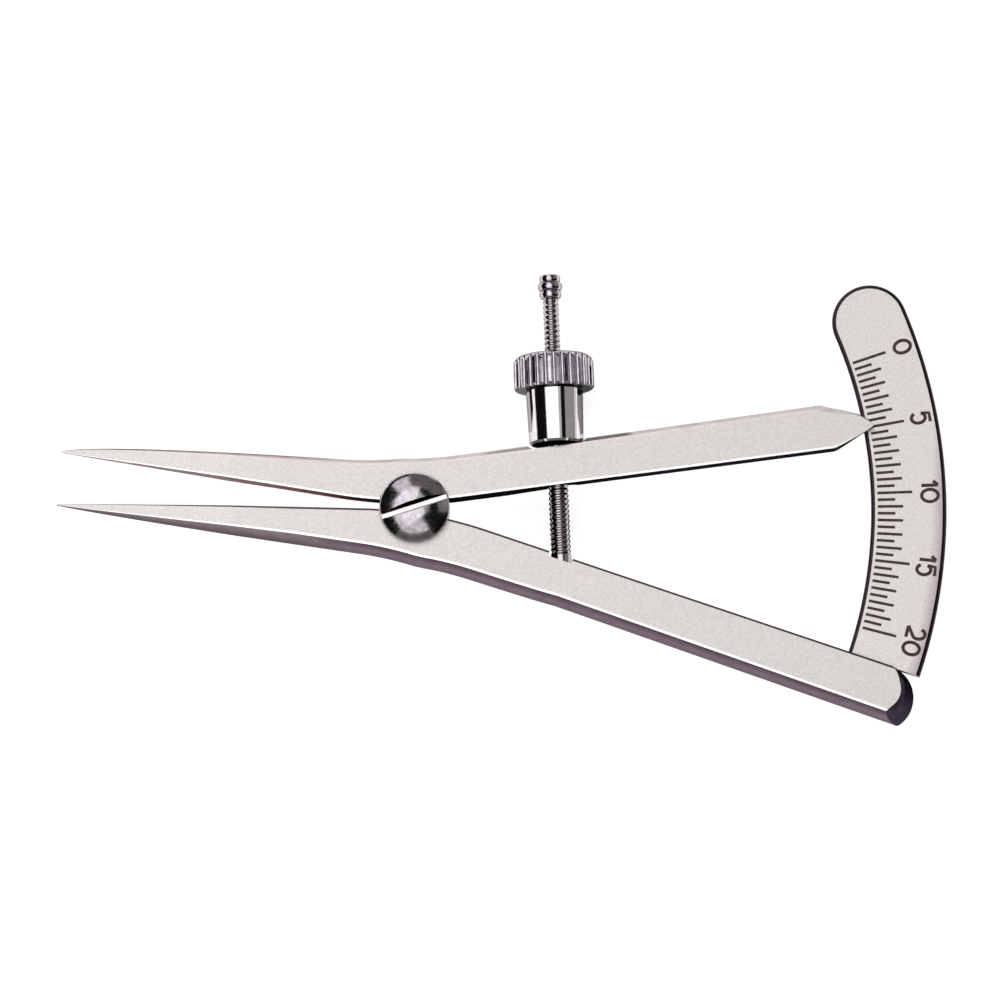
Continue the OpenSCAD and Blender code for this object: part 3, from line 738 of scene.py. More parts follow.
def lever_section(levers, ends, lever, s, s_tip, s_end, plate_top):
    """Points in space of a lever's section at one place of its path."""
    width = lever_width(levers, lever, s, s_tip, s_end)
    thin = min(1, max(0, (s - s_tip) / levers.thinning_l) ** levers.thinning_power)
    tall = levers.tip_t + (levers.thickness - levers.tip_t) * thin
    mid = levers.thickness / 2
    inner, outer, low = 0.0, width, mid - tall / 2
    if lever.pointed:
        d = s_end - s
        cut = min(1, max(0, 1 - (d - ends.pointer_lap - ends.undercut_over) / ends.undercut_l))
        low += (plate_top + ends.pointer_gap) * cut
        bevel = min(1, d / ends.pointer_bevel_l) ** ends.pointer_bevel_power
        curve = min(1, d / ends.pointer_l) ** ends.pointer_power
        inner = (ends.pointer_at - ends.pointer_w / 2) * (1 - bevel)
        outer = width + (ends.pointer_at + ends.pointer_w / 2 - width) * (1 - curve)
    at, angle = path_point(levers, lever, s)
    across = Vector((-math.sin(angle), math.cos(angle)))
    turn = Matrix.Rotation(lever.turn, 4, "Z")
    points = []
    for offset, height in section(levers, inner, outer, low, mid + tall / 2, relief_share(levers, s)):
        flat = at + offset * across
        points.append(turn @ Vector((flat.x, lever.side * flat.y, height)))
    return points


def lever_blank(levers, ends, lever, plate_top, materials, name):
    """A lever before its holes and laps are cut: one section extruded from station to station."""
    s_tip = -levers.tip_radius - lever.corner
    s_end = path_at(levers, lever.end_along, lever.bend, lever.corner)
    bm = bmesh.new()
    rail = bm.verts.layers.int.new("rail")
    cap = None
    for s in lever_stations(levers, ends, s_tip, s_end, lever.pointed):
        points = lever_section(levers, ends, lever, s, s_tip, s_end, plate_top)
        if cap is None:
            cap = bm.faces.new([bm.verts.new(p) for p in points])
            for i, vert in enumerate(cap.verts):
                vert[rail] = i
            continue
        made = bmesh.ops.extrude_face_region(bm, geom=[cap, *cap.edges])["geom"]
        cap = next(g for g in made if isinstance(g, bmesh.types.BMFace))
        for vert in cap.verts:
            vert.co = points[vert[rail]]
    rails = len(RAIL_FINISHES)
    for face in bm.faces:
        pair = sorted({vert[rail] for vert in face.verts})
        if len(pair) == 2:
            first = pair[1] if pair == [0, rails - 1] else pair[0]
            face.material_index = RAIL_FINISHES[first]
    return mesh_object(name, bm, materials)


def lap_joint(levers, piece, low, high, lug_low, lug_high, materials):
    """Mills half the thickness away round the pivot and leaves the round lug of the other half."""
    face, wall = materials[FACE], materials[WALL]
    combine(piece, disc_cutter(levers.lug_r + levers.lug_gap, low, high, material=wall))
    combine(piece, disc_cutter(levers.lug_r, lug_low, lug_high, material=face), "UNION")


def lever_materials(finishes, turn, tall, moving):
    """Finishes of a lever in the order FACE, WALL, SIDE, EDGE, RIM. Its edge that faces down is dull with
    painted shade, and its white edge is a painted highlight.
    """
    if moving:
        # The moving lever's side: a lit copy, with painted shade at the back of its jaw.
        jaw_tones = [finishes.upper_jaw_back, finishes.upper_jaw_back, finishes.upper_side]
        arm_tones = [finishes.upper_side, finishes.upper_side]
        glance = None
        edges = [stoned_edge(finishes.edge), stoned_edge(finishes.upper_side)]
    else:
        # The fixed lever's side: painted shade, darkest at the back and next to the front face.
        jaw_tones = [finishes.lower_jaw_back, finishes.lower_jaw]
        arm_tones = [finishes.lower_side_back, finishes.lower_side, finishes.lower_side,
                     finishes.lower_side_edge]
        glance = 0.45
        edges = [stoned_edge(finishes.inner_edge), stoned_edge(finishes.edge)]
    side = ground_steel(jaw_tones, arm_tones, tall, turn, glance)
    return [bead_blasted_steel(finishes.satin), milled_steel(finishes), side, *edges]


def arm_frame(levers, bend, side):
    """Matrix of the frame that lies along an arm, with Y across it away from the pivot's line."""
    turn = -levers.jaw_tilt if side < 0 else -levers.jaw_tilt - opening(levers, levers.reading)
    return Matrix.Rotation(turn, 4, "Z") @ Matrix.Diagonal((1, side, 1, 1)) @ Matrix.Rotation(bend, 4, "Z")


def opening(levers, reading):
    """Angle by which the levers stand open at a reading."""
    return 2 * math.asin(reading / (2 * levers.tip_radius))


class CALIPER_OT_fixed_lever(bpy.types.Operator):
    """Lower lever with its front half-lug, the slot for the spindle and the rounded end"""

    bl_idname = "caliper.fixed_lever"
    bl_label = "Fixed Lever"

    def execute(self, context):
        levers, ends, scale, turned, finishes = settings()
        bend, corner = levers.fixed_bend, levers.fixed_corner
        place = arm_frame(levers, bend, -1)
        inner = inner_offset(levers, bend, corner)
        pin = place.inverted() @ PIN_AT
        end = scale.inner_r + scale.width + levers.fixed_past_scale
        lever = Lever(pointed=False, side=-1, turn=-levers.jaw_tilt, bend=bend, corner=corner,
                      waist_along=pin.x, end_along=end, root_w=levers.fixed_root_w,
                      waist_w=levers.fixed_waist_w, end_w=levers.fixed_end_w,
                      jaw_power=levers.fixed_jaw_power, arm_power=levers.fixed_arm_power)
        tall, lap = levers.thickness, (levers.thickness + levers.lap_gap) / 2
        materials = lever_materials(finishes, levers.jaw_tilt + bend, tall, False)
        wall = materials[WALL]
        piece = lever_blank(levers, ends, lever, 0, materials, "fixed_lever")
        lap_joint(levers, piece, -MM, lap, lap, tall, materials)
        bore_through(piece, turned.shank_r + turned.shank_clear, tall, (0, 0), wall)
        self.cut_spindle_slot(piece, place, inner, levers, turned, wall)
        self.cut_tenon_slot(piece, place, inner, scale, wall)
        self.round_end(piece, place, inner, end, levers, ends, materials)
        dress(piece, "fixed_lever", "fixed_arm", crease=7)
        return {"FINISHED"}

    def cut_spindle_slot(self, piece, place, inner, levers, turned, wall):
        """Cuts the fan that the spindle swings in, its countersunk mouth and the blind hole of its pin."""
        mid, to_arm = levers.thickness / 2, place.inverted()
        half = spindle_sizes(turned)[0] + turned.swing_clear
        points = disc_points(PIN_AT.xy, half, mid - half, mid + half)
        for swing in JOINTS["spindle_swing"]["range_deg"]:
            way = Matrix.Rotation(math.radians(swing), 4, "Z") @ SPINDLE_WAY
            out = (turned.pin_depth + MM) / abs((to_arm.to_3x3() @ way).y)
            points += disc_points((PIN_AT + out * way).xy, half, mid - half, mid + half)
        cut_hull(piece, points, wall)
        rise = turned.pin_depth / abs((to_arm.to_3x3() @ SPINDLE_WAY).y)
        mouth_at = to_arm @ (PIN_AT + SPINDLE_WAY * rise)
        depth = turned.mouth_d + MM
        mouth = place @ Matrix.Translation((mouth_at.x, inner + turned.mouth_d, mid))
        profile = [(0, 0), (turned.mouth_r, 0), (turned.mouth_r, depth), (0, depth)]
        cutter = revolved(profile, mouth @ Matrix.Rotation(math.pi / 2, 4, "X"))
        combine(piece, mesh_object("cutter", cutter, [wall]))
        pin_r, pin_top = turned.pin_r + turned.seat_clear, levers.thickness - turned.pin_cover
        combine(piece, disc_cutter(pin_r, -MM, pin_top, PIN_AT.xy, wall, PIN_STEPS))

    def cut_tenon_slot(self, piece, place, inner, scale, wall):
        """Cuts the slot that the scale plate's tenon sits in."""
        gap = scale.tenon_clear
        low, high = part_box("scale_plate")
        start = scale.inner_r + scale.tenon_step
        combine(piece, box_cutter((start - gap, inner - MM, low.z - gap),
                                  (start + scale.tenon_l + gap, inner + scale.tenon_d + gap, high.z + gap),
                                  place, wall))

    def round_end(self, piece, place, inner, end, levers, ends, materials):
        """Grinds the arm's end round, sloping in from the back to the front face, with a bevel there."""
        tall, over, slope = levers.thickness, MM, 0.6
        start = end - ends.narrowing_l
        side, wide = inner - ends.narrowing_w, levers.fixed_end_w + 2 * ends.narrowing_w
        back_at = (end - ends.end_r, inner + ends.end_r_at)
        face_at = (end - ends.end_draft - ends.face_r, inner + ends.face_at)
        points = disc_points(back_at, ends.end_r, -2 * over, ends.rim_h)
        points += disc_points(face_at, ends.face_r + ends.bevel, 0, tall - ends.bevel)
        points += disc_points(face_at, ends.face_r - ends.bevel, 0, tall + ends.bevel)
        points += product((start, start + over / 2), (side, side + wide), (-2 * over, tall + 2 * over))
        bm = hull(points, place)
        bm.normal_update()
        # Faces that turn down take the wall's painted shade; the upper slopes take the side's tones.
        for face in bm.faces:
            face.material_index = SIDE if face.normal.z > slope else WALL
        kept = mesh_object("kept_end", bm, materials)
        ground = box_cutter((start + over, side - over, -over),
                            (end + over, side + wide + over, tall + over), place, materials[WALL])
        combine(ground, kept)
        combine(piece, ground)


def spindle_sizes(turned):
    """The spindle's radius below its step, how far the step is from the pin, and the radius above it."""
    upper = min(across for _, across in node_spots("thumb_nut", PIN_AT, SPINDLE_WAY)) - turned.nut_clear
    spots = node_spots("spindle", PIN_AT, SPINDLE_WAY)
    half = max(along for along, _ in spots) / 2
    lower = max(across for along, across in spots if along < half)
    step = max(along for along, across in spots if along < half and across > (lower + upper) / 2)
    return lower, step, upper


class CALIPER_OT_moving_lever(bpy.types.Operator):
    """Upper lever with its back half-lug, the slot for the spindle and the pointer over the scale"""

    bl_idname = "caliper.moving_lever"
    bl_label = "Moving Lever"

    def execute(self, context):
        levers, ends, scale, turned, finishes = settings()
        bend, corner = levers.moving_bend, -levers.moving_corner
        place = arm_frame(levers, bend, 1)
        inner = inner_offset(levers, bend, corner)
        foot = reach("thrust_sleeve", PIN_AT, SPINDLE_WAY)[0]
        seat = place.inverted() @ (PIN_AT + (foot - turned.foot_gap) * SPINDLE_WAY)
        pointer_across = inner + ends.pointer_at
        pointer_along = math.sqrt((scale.inner_r + ends.pointer_lap) ** 2 - pointer_across**2)
        turn = -levers.jaw_tilt - opening(levers, levers.reading)
        lever = Lever(pointed=True, side=1, turn=turn, bend=bend, corner=corner, waist_along=seat.x,
                      end_along=pointer_along, root_w=levers.moving_root_w, waist_w=levers.moving_waist_w,
                      end_w=levers.moving_end_w, jaw_power=levers.moving_jaw_power,
                      arm_power=levers.moving_arm_power)
        tall, lap = levers.thickness, (levers.thickness - levers.lap_gap) / 2
        materials = lever_materials(finishes, -turn - bend, tall, True)
        plate_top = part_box("scale_plate")[1].z
        piece = lever_blank(levers, ends, lever, plate_top, materials, "moving_lever")
        lap_joint(levers, piece, lap, tall + MM, 0, lap, materials)
        bore_through(piece, turned.shank_r + turned.seat_clear, tall, (0, 0), materials[WALL])
        self.mill_seat(piece, place, seat, turned, materials[RIM])
        self.cut_spindle_slot(piece, place, seat, seat.y - inner, turned, materials[WALL])
        dress(piece, "moving_lever", "moving_arm", crease=7)
        return {"FINISHED"}

    def mill_seat(self, piece, place, seat, turned, finish):
        """Mills the flat that the sleeve's foot bears on."""
        radius = turned.sleeve_foot_r + turned.seat_room
        points = [(x, y, z) for x, z in circle((seat.x, seat.z), radius)
                  for y in (seat.y - turned.seat_d, seat.y + MM)]
        cut_hull(piece, points, finish, place)

    def cut_spindle_slot(self, piece, place, seat, width, turned, wall):
        """Cuts the long slot through which the spindle passes at every opening."""
        half = spindle_sizes(turned)[0] + turned.swing_clear
        arm_way = place.to_3x3() @ Vector((0, 1, 0))
        leans = []
        for turn in JOINTS["arm_pivot"]["range_deg"]:
            way = Matrix.Rotation(math.radians(turn / 2), 3, "Z") @ SPINDLE_WAY
            arm_then = Matrix.Rotation(math.radians(turn), 3, "Z") @ arm_way
            leans.append(math.atan2(arm_then.x * way.y - arm_then.y * way.x, arm_then.dot(way)))
        shifts = [width * math.tan(lean) for lean in leans]
        extra = half / math.cos(max(map(abs, leans))) - half
        points = [(x, y, z) for middle in (min(0, *shifts) - extra, max(0, *shifts) + extra)
                  for x, z in circle((seat.x + middle, seat.z), half)
                  for y in (seat.y - width - MM, seat.y + MM)]
        cut_hull(piece, points, wall, place)


# Scale


def figure_strokes(figure):
    """Width of a figure, and the strokes of its cutter in a box one wide and one high."""
    if figure == "0":
        return 1, [arc((0.5, 0.5), 0.5, 0, FULL_TURN, 32)]
    if figure == "1":
        return 0.4, [[(0, 0.72), (0.36, 1)], [(0.36, 1), (0.36, 0)]]
    if figure == "2":
        return 1, [arc((0.5, 0.68), 0.42, math.radians(160), math.radians(-35), 14) + [(0.05, 0)],
                   [(0.05, 0), (0.98, 0)]]
    if figure == "5":
        return 1, [[(0.92, 1), (0.2, 1), (0.12, 0.52)],
                   [(0.12, 0.52)] + arc((0.47, 0.32), 0.42, math.radians(125), math.radians(-150), 20)]
    raise ValueError(f"no strokes for the figure {figure!r}")


def figure_cutter(scale, text, angle, top, paint):
    """Round-nosed cuts of a number that stands outwards and reads clockwise, centred on its line."""
    curve = bpy.data.curves.new("figures", "CURVE")
    curve.dimensions = "3D"
    curve.bevel_depth = scale.stroke_w / 2
    curve.bevel_resolution = 2
    curve.use_fill_caps = True
    drawn_figures = [figure_strokes(figure) for figure in text]
    whole = sum(width for width, _ in drawn_figures) * scale.figure_w + (len(text) - 1) * scale.figure_gap
    shift, same_spot = -whole / 2, 1e-6
    for width, strokes in drawn_figures:
        for stroke in strokes:
            spline = curve.splines.new("POLY")
            closed = math.dist(stroke[0], stroke[-1]) < same_spot
            points = stroke[:-1] if closed else stroke
            spline.points.add(len(points) - 1)
            spline.use_cyclic_u = closed
            for spot, (x, y) in zip(spline.points, points):
                out = scale.figure_r + (y - 0.5) * scale.figure_h
                along = shift + x * scale.figure_w
                spot.co = (out, -along, top, 1)
        shift += width * scale.figure_w + scale.figure_gap
    drawn = add_object("figures", curve)
    mesh = bpy.data.meshes.new_from_object(drawn.evaluated_get(bpy.context.evaluated_depsgraph_get()))
    bpy.data.curves.remove(curve)
    bm = bmesh.new()
    bm.from_mesh(mesh)
    bpy.data.meshes.remove(mesh)
    bmesh.ops.remove_doubles(bm, verts=bm.verts, dist=WELD / 10)
    sink = Matrix.Translation((0, 0, scale.stroke_w / 2 - 1.5 * scale.cut_d))
    bmesh.ops.transform(bm, matrix=Matrix.Rotation(angle, 4, "Z") @ sink, verts=bm.verts)
    return mesh_object("cutter", bm, [paint])


class CALIPER_OT_scale_plate(bpy.types.Operator):
    """Arc plate with its rounded end, engraved lines and figures"""

    bl_idname = "caliper.scale_plate"
    bl_label = "Scale Plate"

    def execute(self, context):
        levers, ends, scale, _, finishes = settings()
        low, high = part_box("scale_plate")
        face = plate_steel(finishes, scale.inner_r + scale.width)
        edge, paint = stoned_edge(finishes.plate_edge), engraving_paint(finishes)
        pointer_across = inner_offset(levers, levers.moving_bend, -levers.moving_corner) + ends.pointer_at
        pointer_r = scale.inner_r + ends.pointer_lap
        zero = levers.moving_bend - levers.jaw_tilt + math.asin(pointer_across / pointer_r)
        place = arm_frame(levers, levers.fixed_bend, -1)
        shoulder = inner_offset(levers, levers.fixed_bend, levers.fixed_corner) - scale.tenon_clear
        piece = self.plate(scale, zero, place, shoulder, low.z, high.z, [face, edge])
        start = scale.inner_r + scale.tenon_step
        tenon = box_cutter((start, shoulder - MM, low.z),
                           (start + scale.tenon_l, shoulder + scale.tenon_d, high.z), place, face)
        combine(piece, tenon, "UNION")
        combine(piece, self.lines(levers, scale, zero, high.z, paint))
        for reading in range(0, scale.last + 1, 5):
            line_at = zero - opening(levers, reading * MM)
            combine(piece, figure_cutter(scale, str(reading), line_at, high.z, paint), crossed=True)
        dress(piece, "fixed_lever", "scale_plate", crease=10)
        return {"FINISHED"}

    def plate(self, scale, zero, place, shoulder, low, high, materials):
        """The plate: a ring's sector with a round end, cut off straight at the fixed arm and bevelled."""
        end = zero + scale.beyond_zero
        outer_r, mid_r = scale.inner_r + scale.width, scale.inner_r + scale.width / 2
        way = Vector((math.cos(end), math.sin(end), 0))
        past_shoulder, arc_steps, end_steps = math.radians(56), 160, 48
        bm = spun([way * radius for radius in (scale.inner_r, mid_r, outer_r)], -past_shoulder, arc_steps)
        centre = bm.verts.new(way * mid_r)
        rim = bm.verts.new(way * outer_r)
        spoke = bm.edges.new((centre, rim))
        bmesh.ops.spin(bm, geom=[centre, rim, spoke], cent=way * mid_r, axis=(0, 0, 1), angle=math.pi,
                       steps=end_steps)
        bmesh.ops.remove_doubles(bm, verts=bm.verts, dist=10 * WELD)
        slice_off(bm, place @ Vector((0, shoulder, 0)), place.to_3x3() @ Vector((0, 1, 0)))
        bmesh.ops.dissolve_faces(bm, faces=bm.faces)
        bmesh.ops.translate(bm, verts=bm.verts, vec=(0, 0, low))
        made = bmesh.ops.extrude_face_region(bm, geom=bm.faces[:])["geom"]
        lifted = [g for g in made if isinstance(g, bmesh.types.BMVert)]
        bmesh.ops.translate(bm, verts=lifted, vec=(0, 0, high - low))
        bmesh.ops.recalc_face_normals(bm, faces=bm.faces)
        to_arm, level = place.inverted(), WELD / 100
        rims = [e for e in bm.edges if abs(e.verts[0].co.z - e.verts[1].co.z) < level
                and any((to_arm @ v.co).y < shoulder - 10 * WELD for v in e.verts)]
        bevelled = bmesh.ops.bevel(bm, geom=rims, offset=scale.rim, affect="EDGES", segments=3, profile=0.5,
                                   material=-1)
        # The bevel takes the plate's edge tone, a painted shade line.
        for face in bevelled["faces"]:
            face.material_index = 1
        return mesh_object("graduated_plate", bm, materials)

    def lines(self, levers, scale, zero, top, paint):
        """Cutters of the graduation: a line each half millimetre, longer at whole ones and at each fifth."""
        bm = bmesh.new()
        for half in range(2 * scale.last + 1):
            start, end = scale.half_start, scale.half_end
            if half % 10 == 0:
                end = scale.fifth_end
            elif half % 2 == 0:
                end = scale.whole_end
            line_at = zero - opening(levers, half / 2 * MM)
            size = Matrix.Diagonal((end - start, scale.line_w, 2 * scale.cut_d, 1))
            at = Matrix.Rotation(line_at, 4, "Z") @ Matrix.Translation(((start + end) / 2, 0, top))
            bmesh.ops.create_cube(bm, size=1, matrix=at @ size)
        return mesh_object("cutter", bm, [paint])


# Turned pieces


class CALIPER_OT_pivot_screw(bpy.types.Operator):
    """Slotted screw with a domed head on which the levers turn"""

    bl_idname = "caliper.pivot_screw"
    bl_label = "Pivot Screw"

    def execute(self, context):
        levers, _, _, turned, finishes = settings()
        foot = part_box("pivot_screw")[0].z
        head_r, dome_h, edge = turned.head_r, turned.head_dome_h, turned.head_edge / 2
        seat = levers.thickness + turned.head_gap
        rim_top = seat + turned.head_rim_h
        top = rim_top + dome_h
        ball_r = (head_r**2 + dome_h**2) / (2 * dome_h)
        slope = math.asin((head_r - turned.head_edge) / ball_r)
        dome = arc((0, top - ball_r), ball_r, math.pi / 2 - slope, math.pi / 2, 16)
        profile = [(0, foot), (turned.shank_r, foot), (turned.shank_r, seat), (head_r - edge, seat),
                   (head_r, seat + edge), (head_r, rim_top - edge), *dome[:-1], (0, top)]
        material = screw_steel(finishes)
        piece = mesh_object("domed_screw", revolved(profile), [material])
        floor_highlight = stoned_edge(finishes.slot_floor)
        combine(piece, self.slot(turned, head_r, top, [material, milled_steel(finishes), floor_highlight]))
        dress(piece, "moving_lever", "pivot_screw")
        return {"FINISHED"}

    def slot(self, turned, head_r, top, materials):
        """Cutter of the screwdriver slot: leaning walls, the upper of them dark with painted shade, and a
        floor bright with a painted highlight.
        """
        floor = top - turned.driver_slot_d
        lean = (turned.driver_slot_w - turned.driver_slot_floor_w) / turned.driver_slot_d
        levels = ((floor, turned.driver_slot_floor_w), (top + MM, turned.driver_slot_w + lean * MM))
        points = [(x, side * wide / 2, height) for x in (-head_r - MM, head_r + MM)
                  for height, wide in levels for side in (-1, 1)]
        bm = hull(points, Matrix.Rotation(turned.driver_slot_angle, 4, "Z"))
        bm.normal_update()
        upper_wall, down = 0.5, -0.9
        # The upper wall takes the milled wall's painted shade, and the floor its painted highlight.
        for face in bm.faces:
            face.material_index = 1 if face.normal.y > upper_wall else 2 if face.normal.z < down else 0
        return mesh_object("cutter", bm, materials)


class CALIPER_OT_spindle(bpy.types.Operator):
    """Threaded spindle with its plain eye, the stop at its free end and its pin"""

    bl_idname = "caliper.spindle"
    bl_label = "Spindle"

    def execute(self, context):
        levers, _, _, turned, finishes = settings()
        place = standing_on(PIN_AT, SPINDLE_WAY)
        material = thread_steel(finishes)
        lower, step, upper = spindle_sizes(turned)
        _, end, stop_r = reach("spindle", PIN_AT, SPINDLE_WAY)
        stop_start, pitch = end - turned.stop_h, turned.pitch
        piece = self.thread(turned, lower, turned.plain_l, step, place, material)
        upper_thread = self.thread(turned, upper, step - pitch, stop_start + pitch / 2, place, material)
        combine(piece, upper_thread, "UNION")
        eye_top = turned.plain_l + lower / 2
        eye = [(0, -lower), *arc((0, 0), lower, -math.pi / 2, 0, 12)[1:], (lower, turned.plain_l),
               (lower / 2, eye_top), (0, eye_top)]
        combine(piece, mesh_object("eye", revolved(eye, place, 64), [material]), "UNION")
        stop = self.stop(turned, upper, stop_r, stop_start, end, place)
        combine(piece, mesh_object("stop", stop, [buffed_steel(finishes)]), "UNION")
        pin_bore = turned.pin_r + turned.pin_clear
        bore_through(piece, pin_bore, levers.thickness, PIN_AT.xy, material, PIN_STEPS)
        dress(piece, "spindle", "spindle")
        self.pin(finishes)
        return {"FINISHED"}

    def thread(self, turned, radius, low, high, place, material):
        """The thread: one pitch of its profile screwed up the spindle and cut off square at both ends."""
        pitch, half_d = turned.pitch, turned.thread_d / 2
        around, rounds = 40, 10
        turns = math.ceil((high - low) / pitch) + 2
        wave = [(radius - half_d * (1 + math.cos(FULL_TURN * i / rounds)), 0, low + (i / rounds - 1) * pitch)
                for i in range(rounds + 1)]
        bm = spun(wave, FULL_TURN * turns, around * turns, climb=pitch / around)
        bmesh.ops.remove_doubles(bm, verts=bm.verts, dist=10 * WELD)
        for height, way in ((low, -1), (high, 1)):
            slice_off(bm, (0, 0, height), (0, 0, way))
            rim = [e for e in bm.edges if e.is_boundary and abs(e.verts[0].co.z - height) < WELD]
            bmesh.ops.edgeloop_fill(bm, edges=rim)
        bmesh.ops.transform(bm, matrix=place, verts=bm.verts)
        return mesh_object("threaded_spindle", bm, [material])

    def stop(self, turned, radius, stop_r, low, high, place):
        """The stop: upset end with three beads, the last of them domed, and a centre mark."""
        bead_sizes, bulge, face_share = (0.9, 1.0, 0.86), 0.3, 0.62
        swings = [math.radians(-75 + 30 * i) for i in range(6)]
        tall = (high - low) / len(bead_sizes)
        profile = [(0, low), (radius / 2, low)]
        for bead, size in enumerate(bead_sizes):
            middle = low + (bead + 0.5) * tall
            profile += [(stop_r * size - tall * bulge * (1 - math.cos(a)), middle + tall / 2 * math.sin(a))
                        for a in swings]
        profile += [(stop_r * face_share, high), (turned.mark_r, high), (0, high - turned.mark_r / 2)]
        return revolved(profile, place, ROUND_STEPS)

    def pin(self, finishes):
        """The pin that holds the spindle's eye, with a small bevel at both ends."""
        low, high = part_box("spindle_pin")
        radius, bevel = (high.x - low.x) / 2, 0.05 * MM
        profile = [(0, low.z), (radius - bevel, low.z), (radius, low.z + bevel), (radius, high.z - bevel),
                   (radius - bevel, high.z), (0, high.z)]
        place = Matrix.Translation((PIN_AT.x, PIN_AT.y, 0))
        piece = mesh_object("hinge_pin", revolved(profile, place, PIN_STEPS), [screw_steel(finishes)])
        dress(piece, "fixed_lever", "spindle_pin")


class CALIPER_OT_thumb_nut(bpy.types.Operator):
    """Fluted thumb nut and the thrust sleeve under it"""

    bl_idname = "caliper.thumb_nut"
    bl_label = "Thumb Nut and Sleeve"

    def execute(self, context):
        _, _, _, turned, finishes = settings()
        self.sleeve(turned, finishes)
        self.nut(turned, buffed_steel(finishes))
        return {"FINISHED"}

    def sleeve(self, turned, finishes):
        """Plain sleeve, a little slimmer at its domed foot."""
        foot, top, top_r = reach("thrust_sleeve", PIN_AT, SPINDLE_WAY)
        foot, top = foot - turned.seat_d, top - turned.nut_drop
        bore = spindle_sizes(turned)[0] + turned.sleeve_clear
        bevel, dome_r, foot_r = turned.sleeve_bevel, turned.foot_dome_r, turned.sleeve_foot_r
        centre = foot + math.sqrt(dome_r**2 - bore**2)
        start, end = math.asin(bore / dome_r), math.asin((foot_r - turned.foot_bevel) / dome_r)
        dome = arc((0, centre), dome_r, start - math.pi / 2, end - math.pi / 2, 12)
        dome_top = dome[-1][1]
        profile = [*dome, (foot_r, dome_top + turned.foot_bevel), (top_r, top - bevel), (top_r - bevel, top),
                   (bore + bevel, top), (bore, top - bevel), dome[0]]
        bm = revolved(profile)
        # Faces below the foot take the milled wall's painted shade, for the shade under it.
        for face in bm.faces:
            face.material_index = int(face.calc_center_median().z < dome_top)
        bmesh.ops.transform(bm, matrix=standing_on(PIN_AT, SPINDLE_WAY), verts=bm.verts)
        piece = mesh_object("plain_sleeve", bm, [polished_steel(finishes), milled_steel(finishes)])
        dress(piece, "sleeve", "thrust_sleeve")

    def nut(self, turned, material):
        """Fluted nut: a ring of points taken up through the levels of its profile and back down its bore."""
        foot, _, outer_r = reach("thumb_nut", PIN_AT, SPINDLE_WAY)
        foot -= turned.nut_drop
        top = foot + turned.nut_h
        bore = spindle_sizes(turned)[2] + turned.nut_clear
        bevel, rounding = turned.nut_bevel, turned.nut_round
        levels = [(bore + bevel, foot), (outer_r - bevel, foot), (outer_r, foot + bevel)]
        levels += arc((outer_r - rounding, top - rounding), rounding, 0, math.pi / 2, 8)
        levels += [(bore + bevel, top), (bore, top - bevel), (bore, foot + bevel), (bore + bevel, foot)]
        spots = self.fluted_circle(turned, outer_r)
        bm = bmesh.new()
        ring = bmesh.ops.create_circle(bm, segments=len(spots), radius=outer_r)["verts"]
        edges = list({e for v in ring for e in v.link_edges})
        for number, (radius, height) in enumerate(levels):
            if number:
                made = bmesh.ops.extrude_edge_only(bm, edges=edges)["geom"]
                edges = [g for g in made if isinstance(g, bmesh.types.BMEdge)]
                ring = self.in_order(edges, ring)
            for vert, (limit, angle) in zip(ring, spots):
                r = min(radius, limit)
                vert.co = (r * math.cos(angle), r * math.sin(angle), height)
        bmesh.ops.remove_doubles(bm, verts=bm.verts, dist=WELD)
        bmesh.ops.transform(bm, matrix=standing_on(PIN_AT, SPINDLE_WAY), verts=bm.verts)
        piece = mesh_object("fluted_nut", bm, [material])
        dress(piece, "nut", "thumb_nut")

    def fluted_circle(self, turned, outer_r):
        """Points round the nut as (radius, angle): a hollow for each flute, and the land beside it."""
        across = math.asin(turned.flute_r / outer_r)
        step = FULL_TURN / turned.flutes
        land = step - 2 * across
        flute_steps = 10
        spots = []
        for flute in range(turned.flutes):
            for i in range(flute_steps + 1):
                swing = math.pi * i / flute_steps
                x = outer_r - turned.flute_r * math.sin(swing)
                y = -turned.flute_r * math.cos(swing)
                spots.append((math.hypot(x, y), flute * step + math.atan2(y, x)))
            spots += [(outer_r, flute * step + across + land * share) for share in (1 / 3, 2 / 3)]
        return spots

    def in_order(self, edges, below):
        """The new ring's vertices in the order of the ring below, which they still lie on."""
        fresh = {v for e in edges for v in e.verts}
        return [next(e.other_vert(v) for e in v.link_edges if e.other_vert(v) in fresh) for v in below]


# Studio


def seen_white(tree):
    """One where camera, metal or glass looks at the studio, and nothing where its light is spread."""
    path = new_node(tree, "ShaderNodeLightPath").outputs
    seen = path["Is Camera Ray"]
    for rays in ("Is Glossy Ray", "Is Transmission Ray"):
        seen = new_node(tree, "ShaderNodeMath", {0: seen, 1: path[rays]}, operation="MAXIMUM").outputs[0]
    return seen


def floor_paper(finishes):
    """White background paper: matt, and lifted towards white where camera, metal or glass sees it."""
    material = blank_material("background_paper")
    tree = material.node_tree
    brightness = 0.66
    lift = new_node(tree, "ShaderNodeMath", {0: seen_white(tree)}, operation="MULTIPLY")
    lift.inputs[1].default_value = brightness
    matt = new_node(tree, "ShaderNodeBsdfDiffuse", Color=(*finishes.floor, 1))
    glow = new_node(tree, "ShaderNodeEmission", {"Strength": lift.outputs[0]}, Color=(1, 1, 1, 1))
    both = new_node(tree, "ShaderNodeAddShader", {0: matt.outputs[0], 1: glow.outputs[0]})
    clear = new_node(tree, "ShaderNodeBsdfTransparent")
    back = new_node(tree, "ShaderNodeNewGeometry").outputs["Backfacing"]
    surface = new_node(tree, "ShaderNodeMixShader", {0: back, 1: both.outputs[0], 2: clear.outputs[0]})
    new_node(tree, "ShaderNodeOutputMaterial", {"Surface": surface.outputs[0]})
    return material


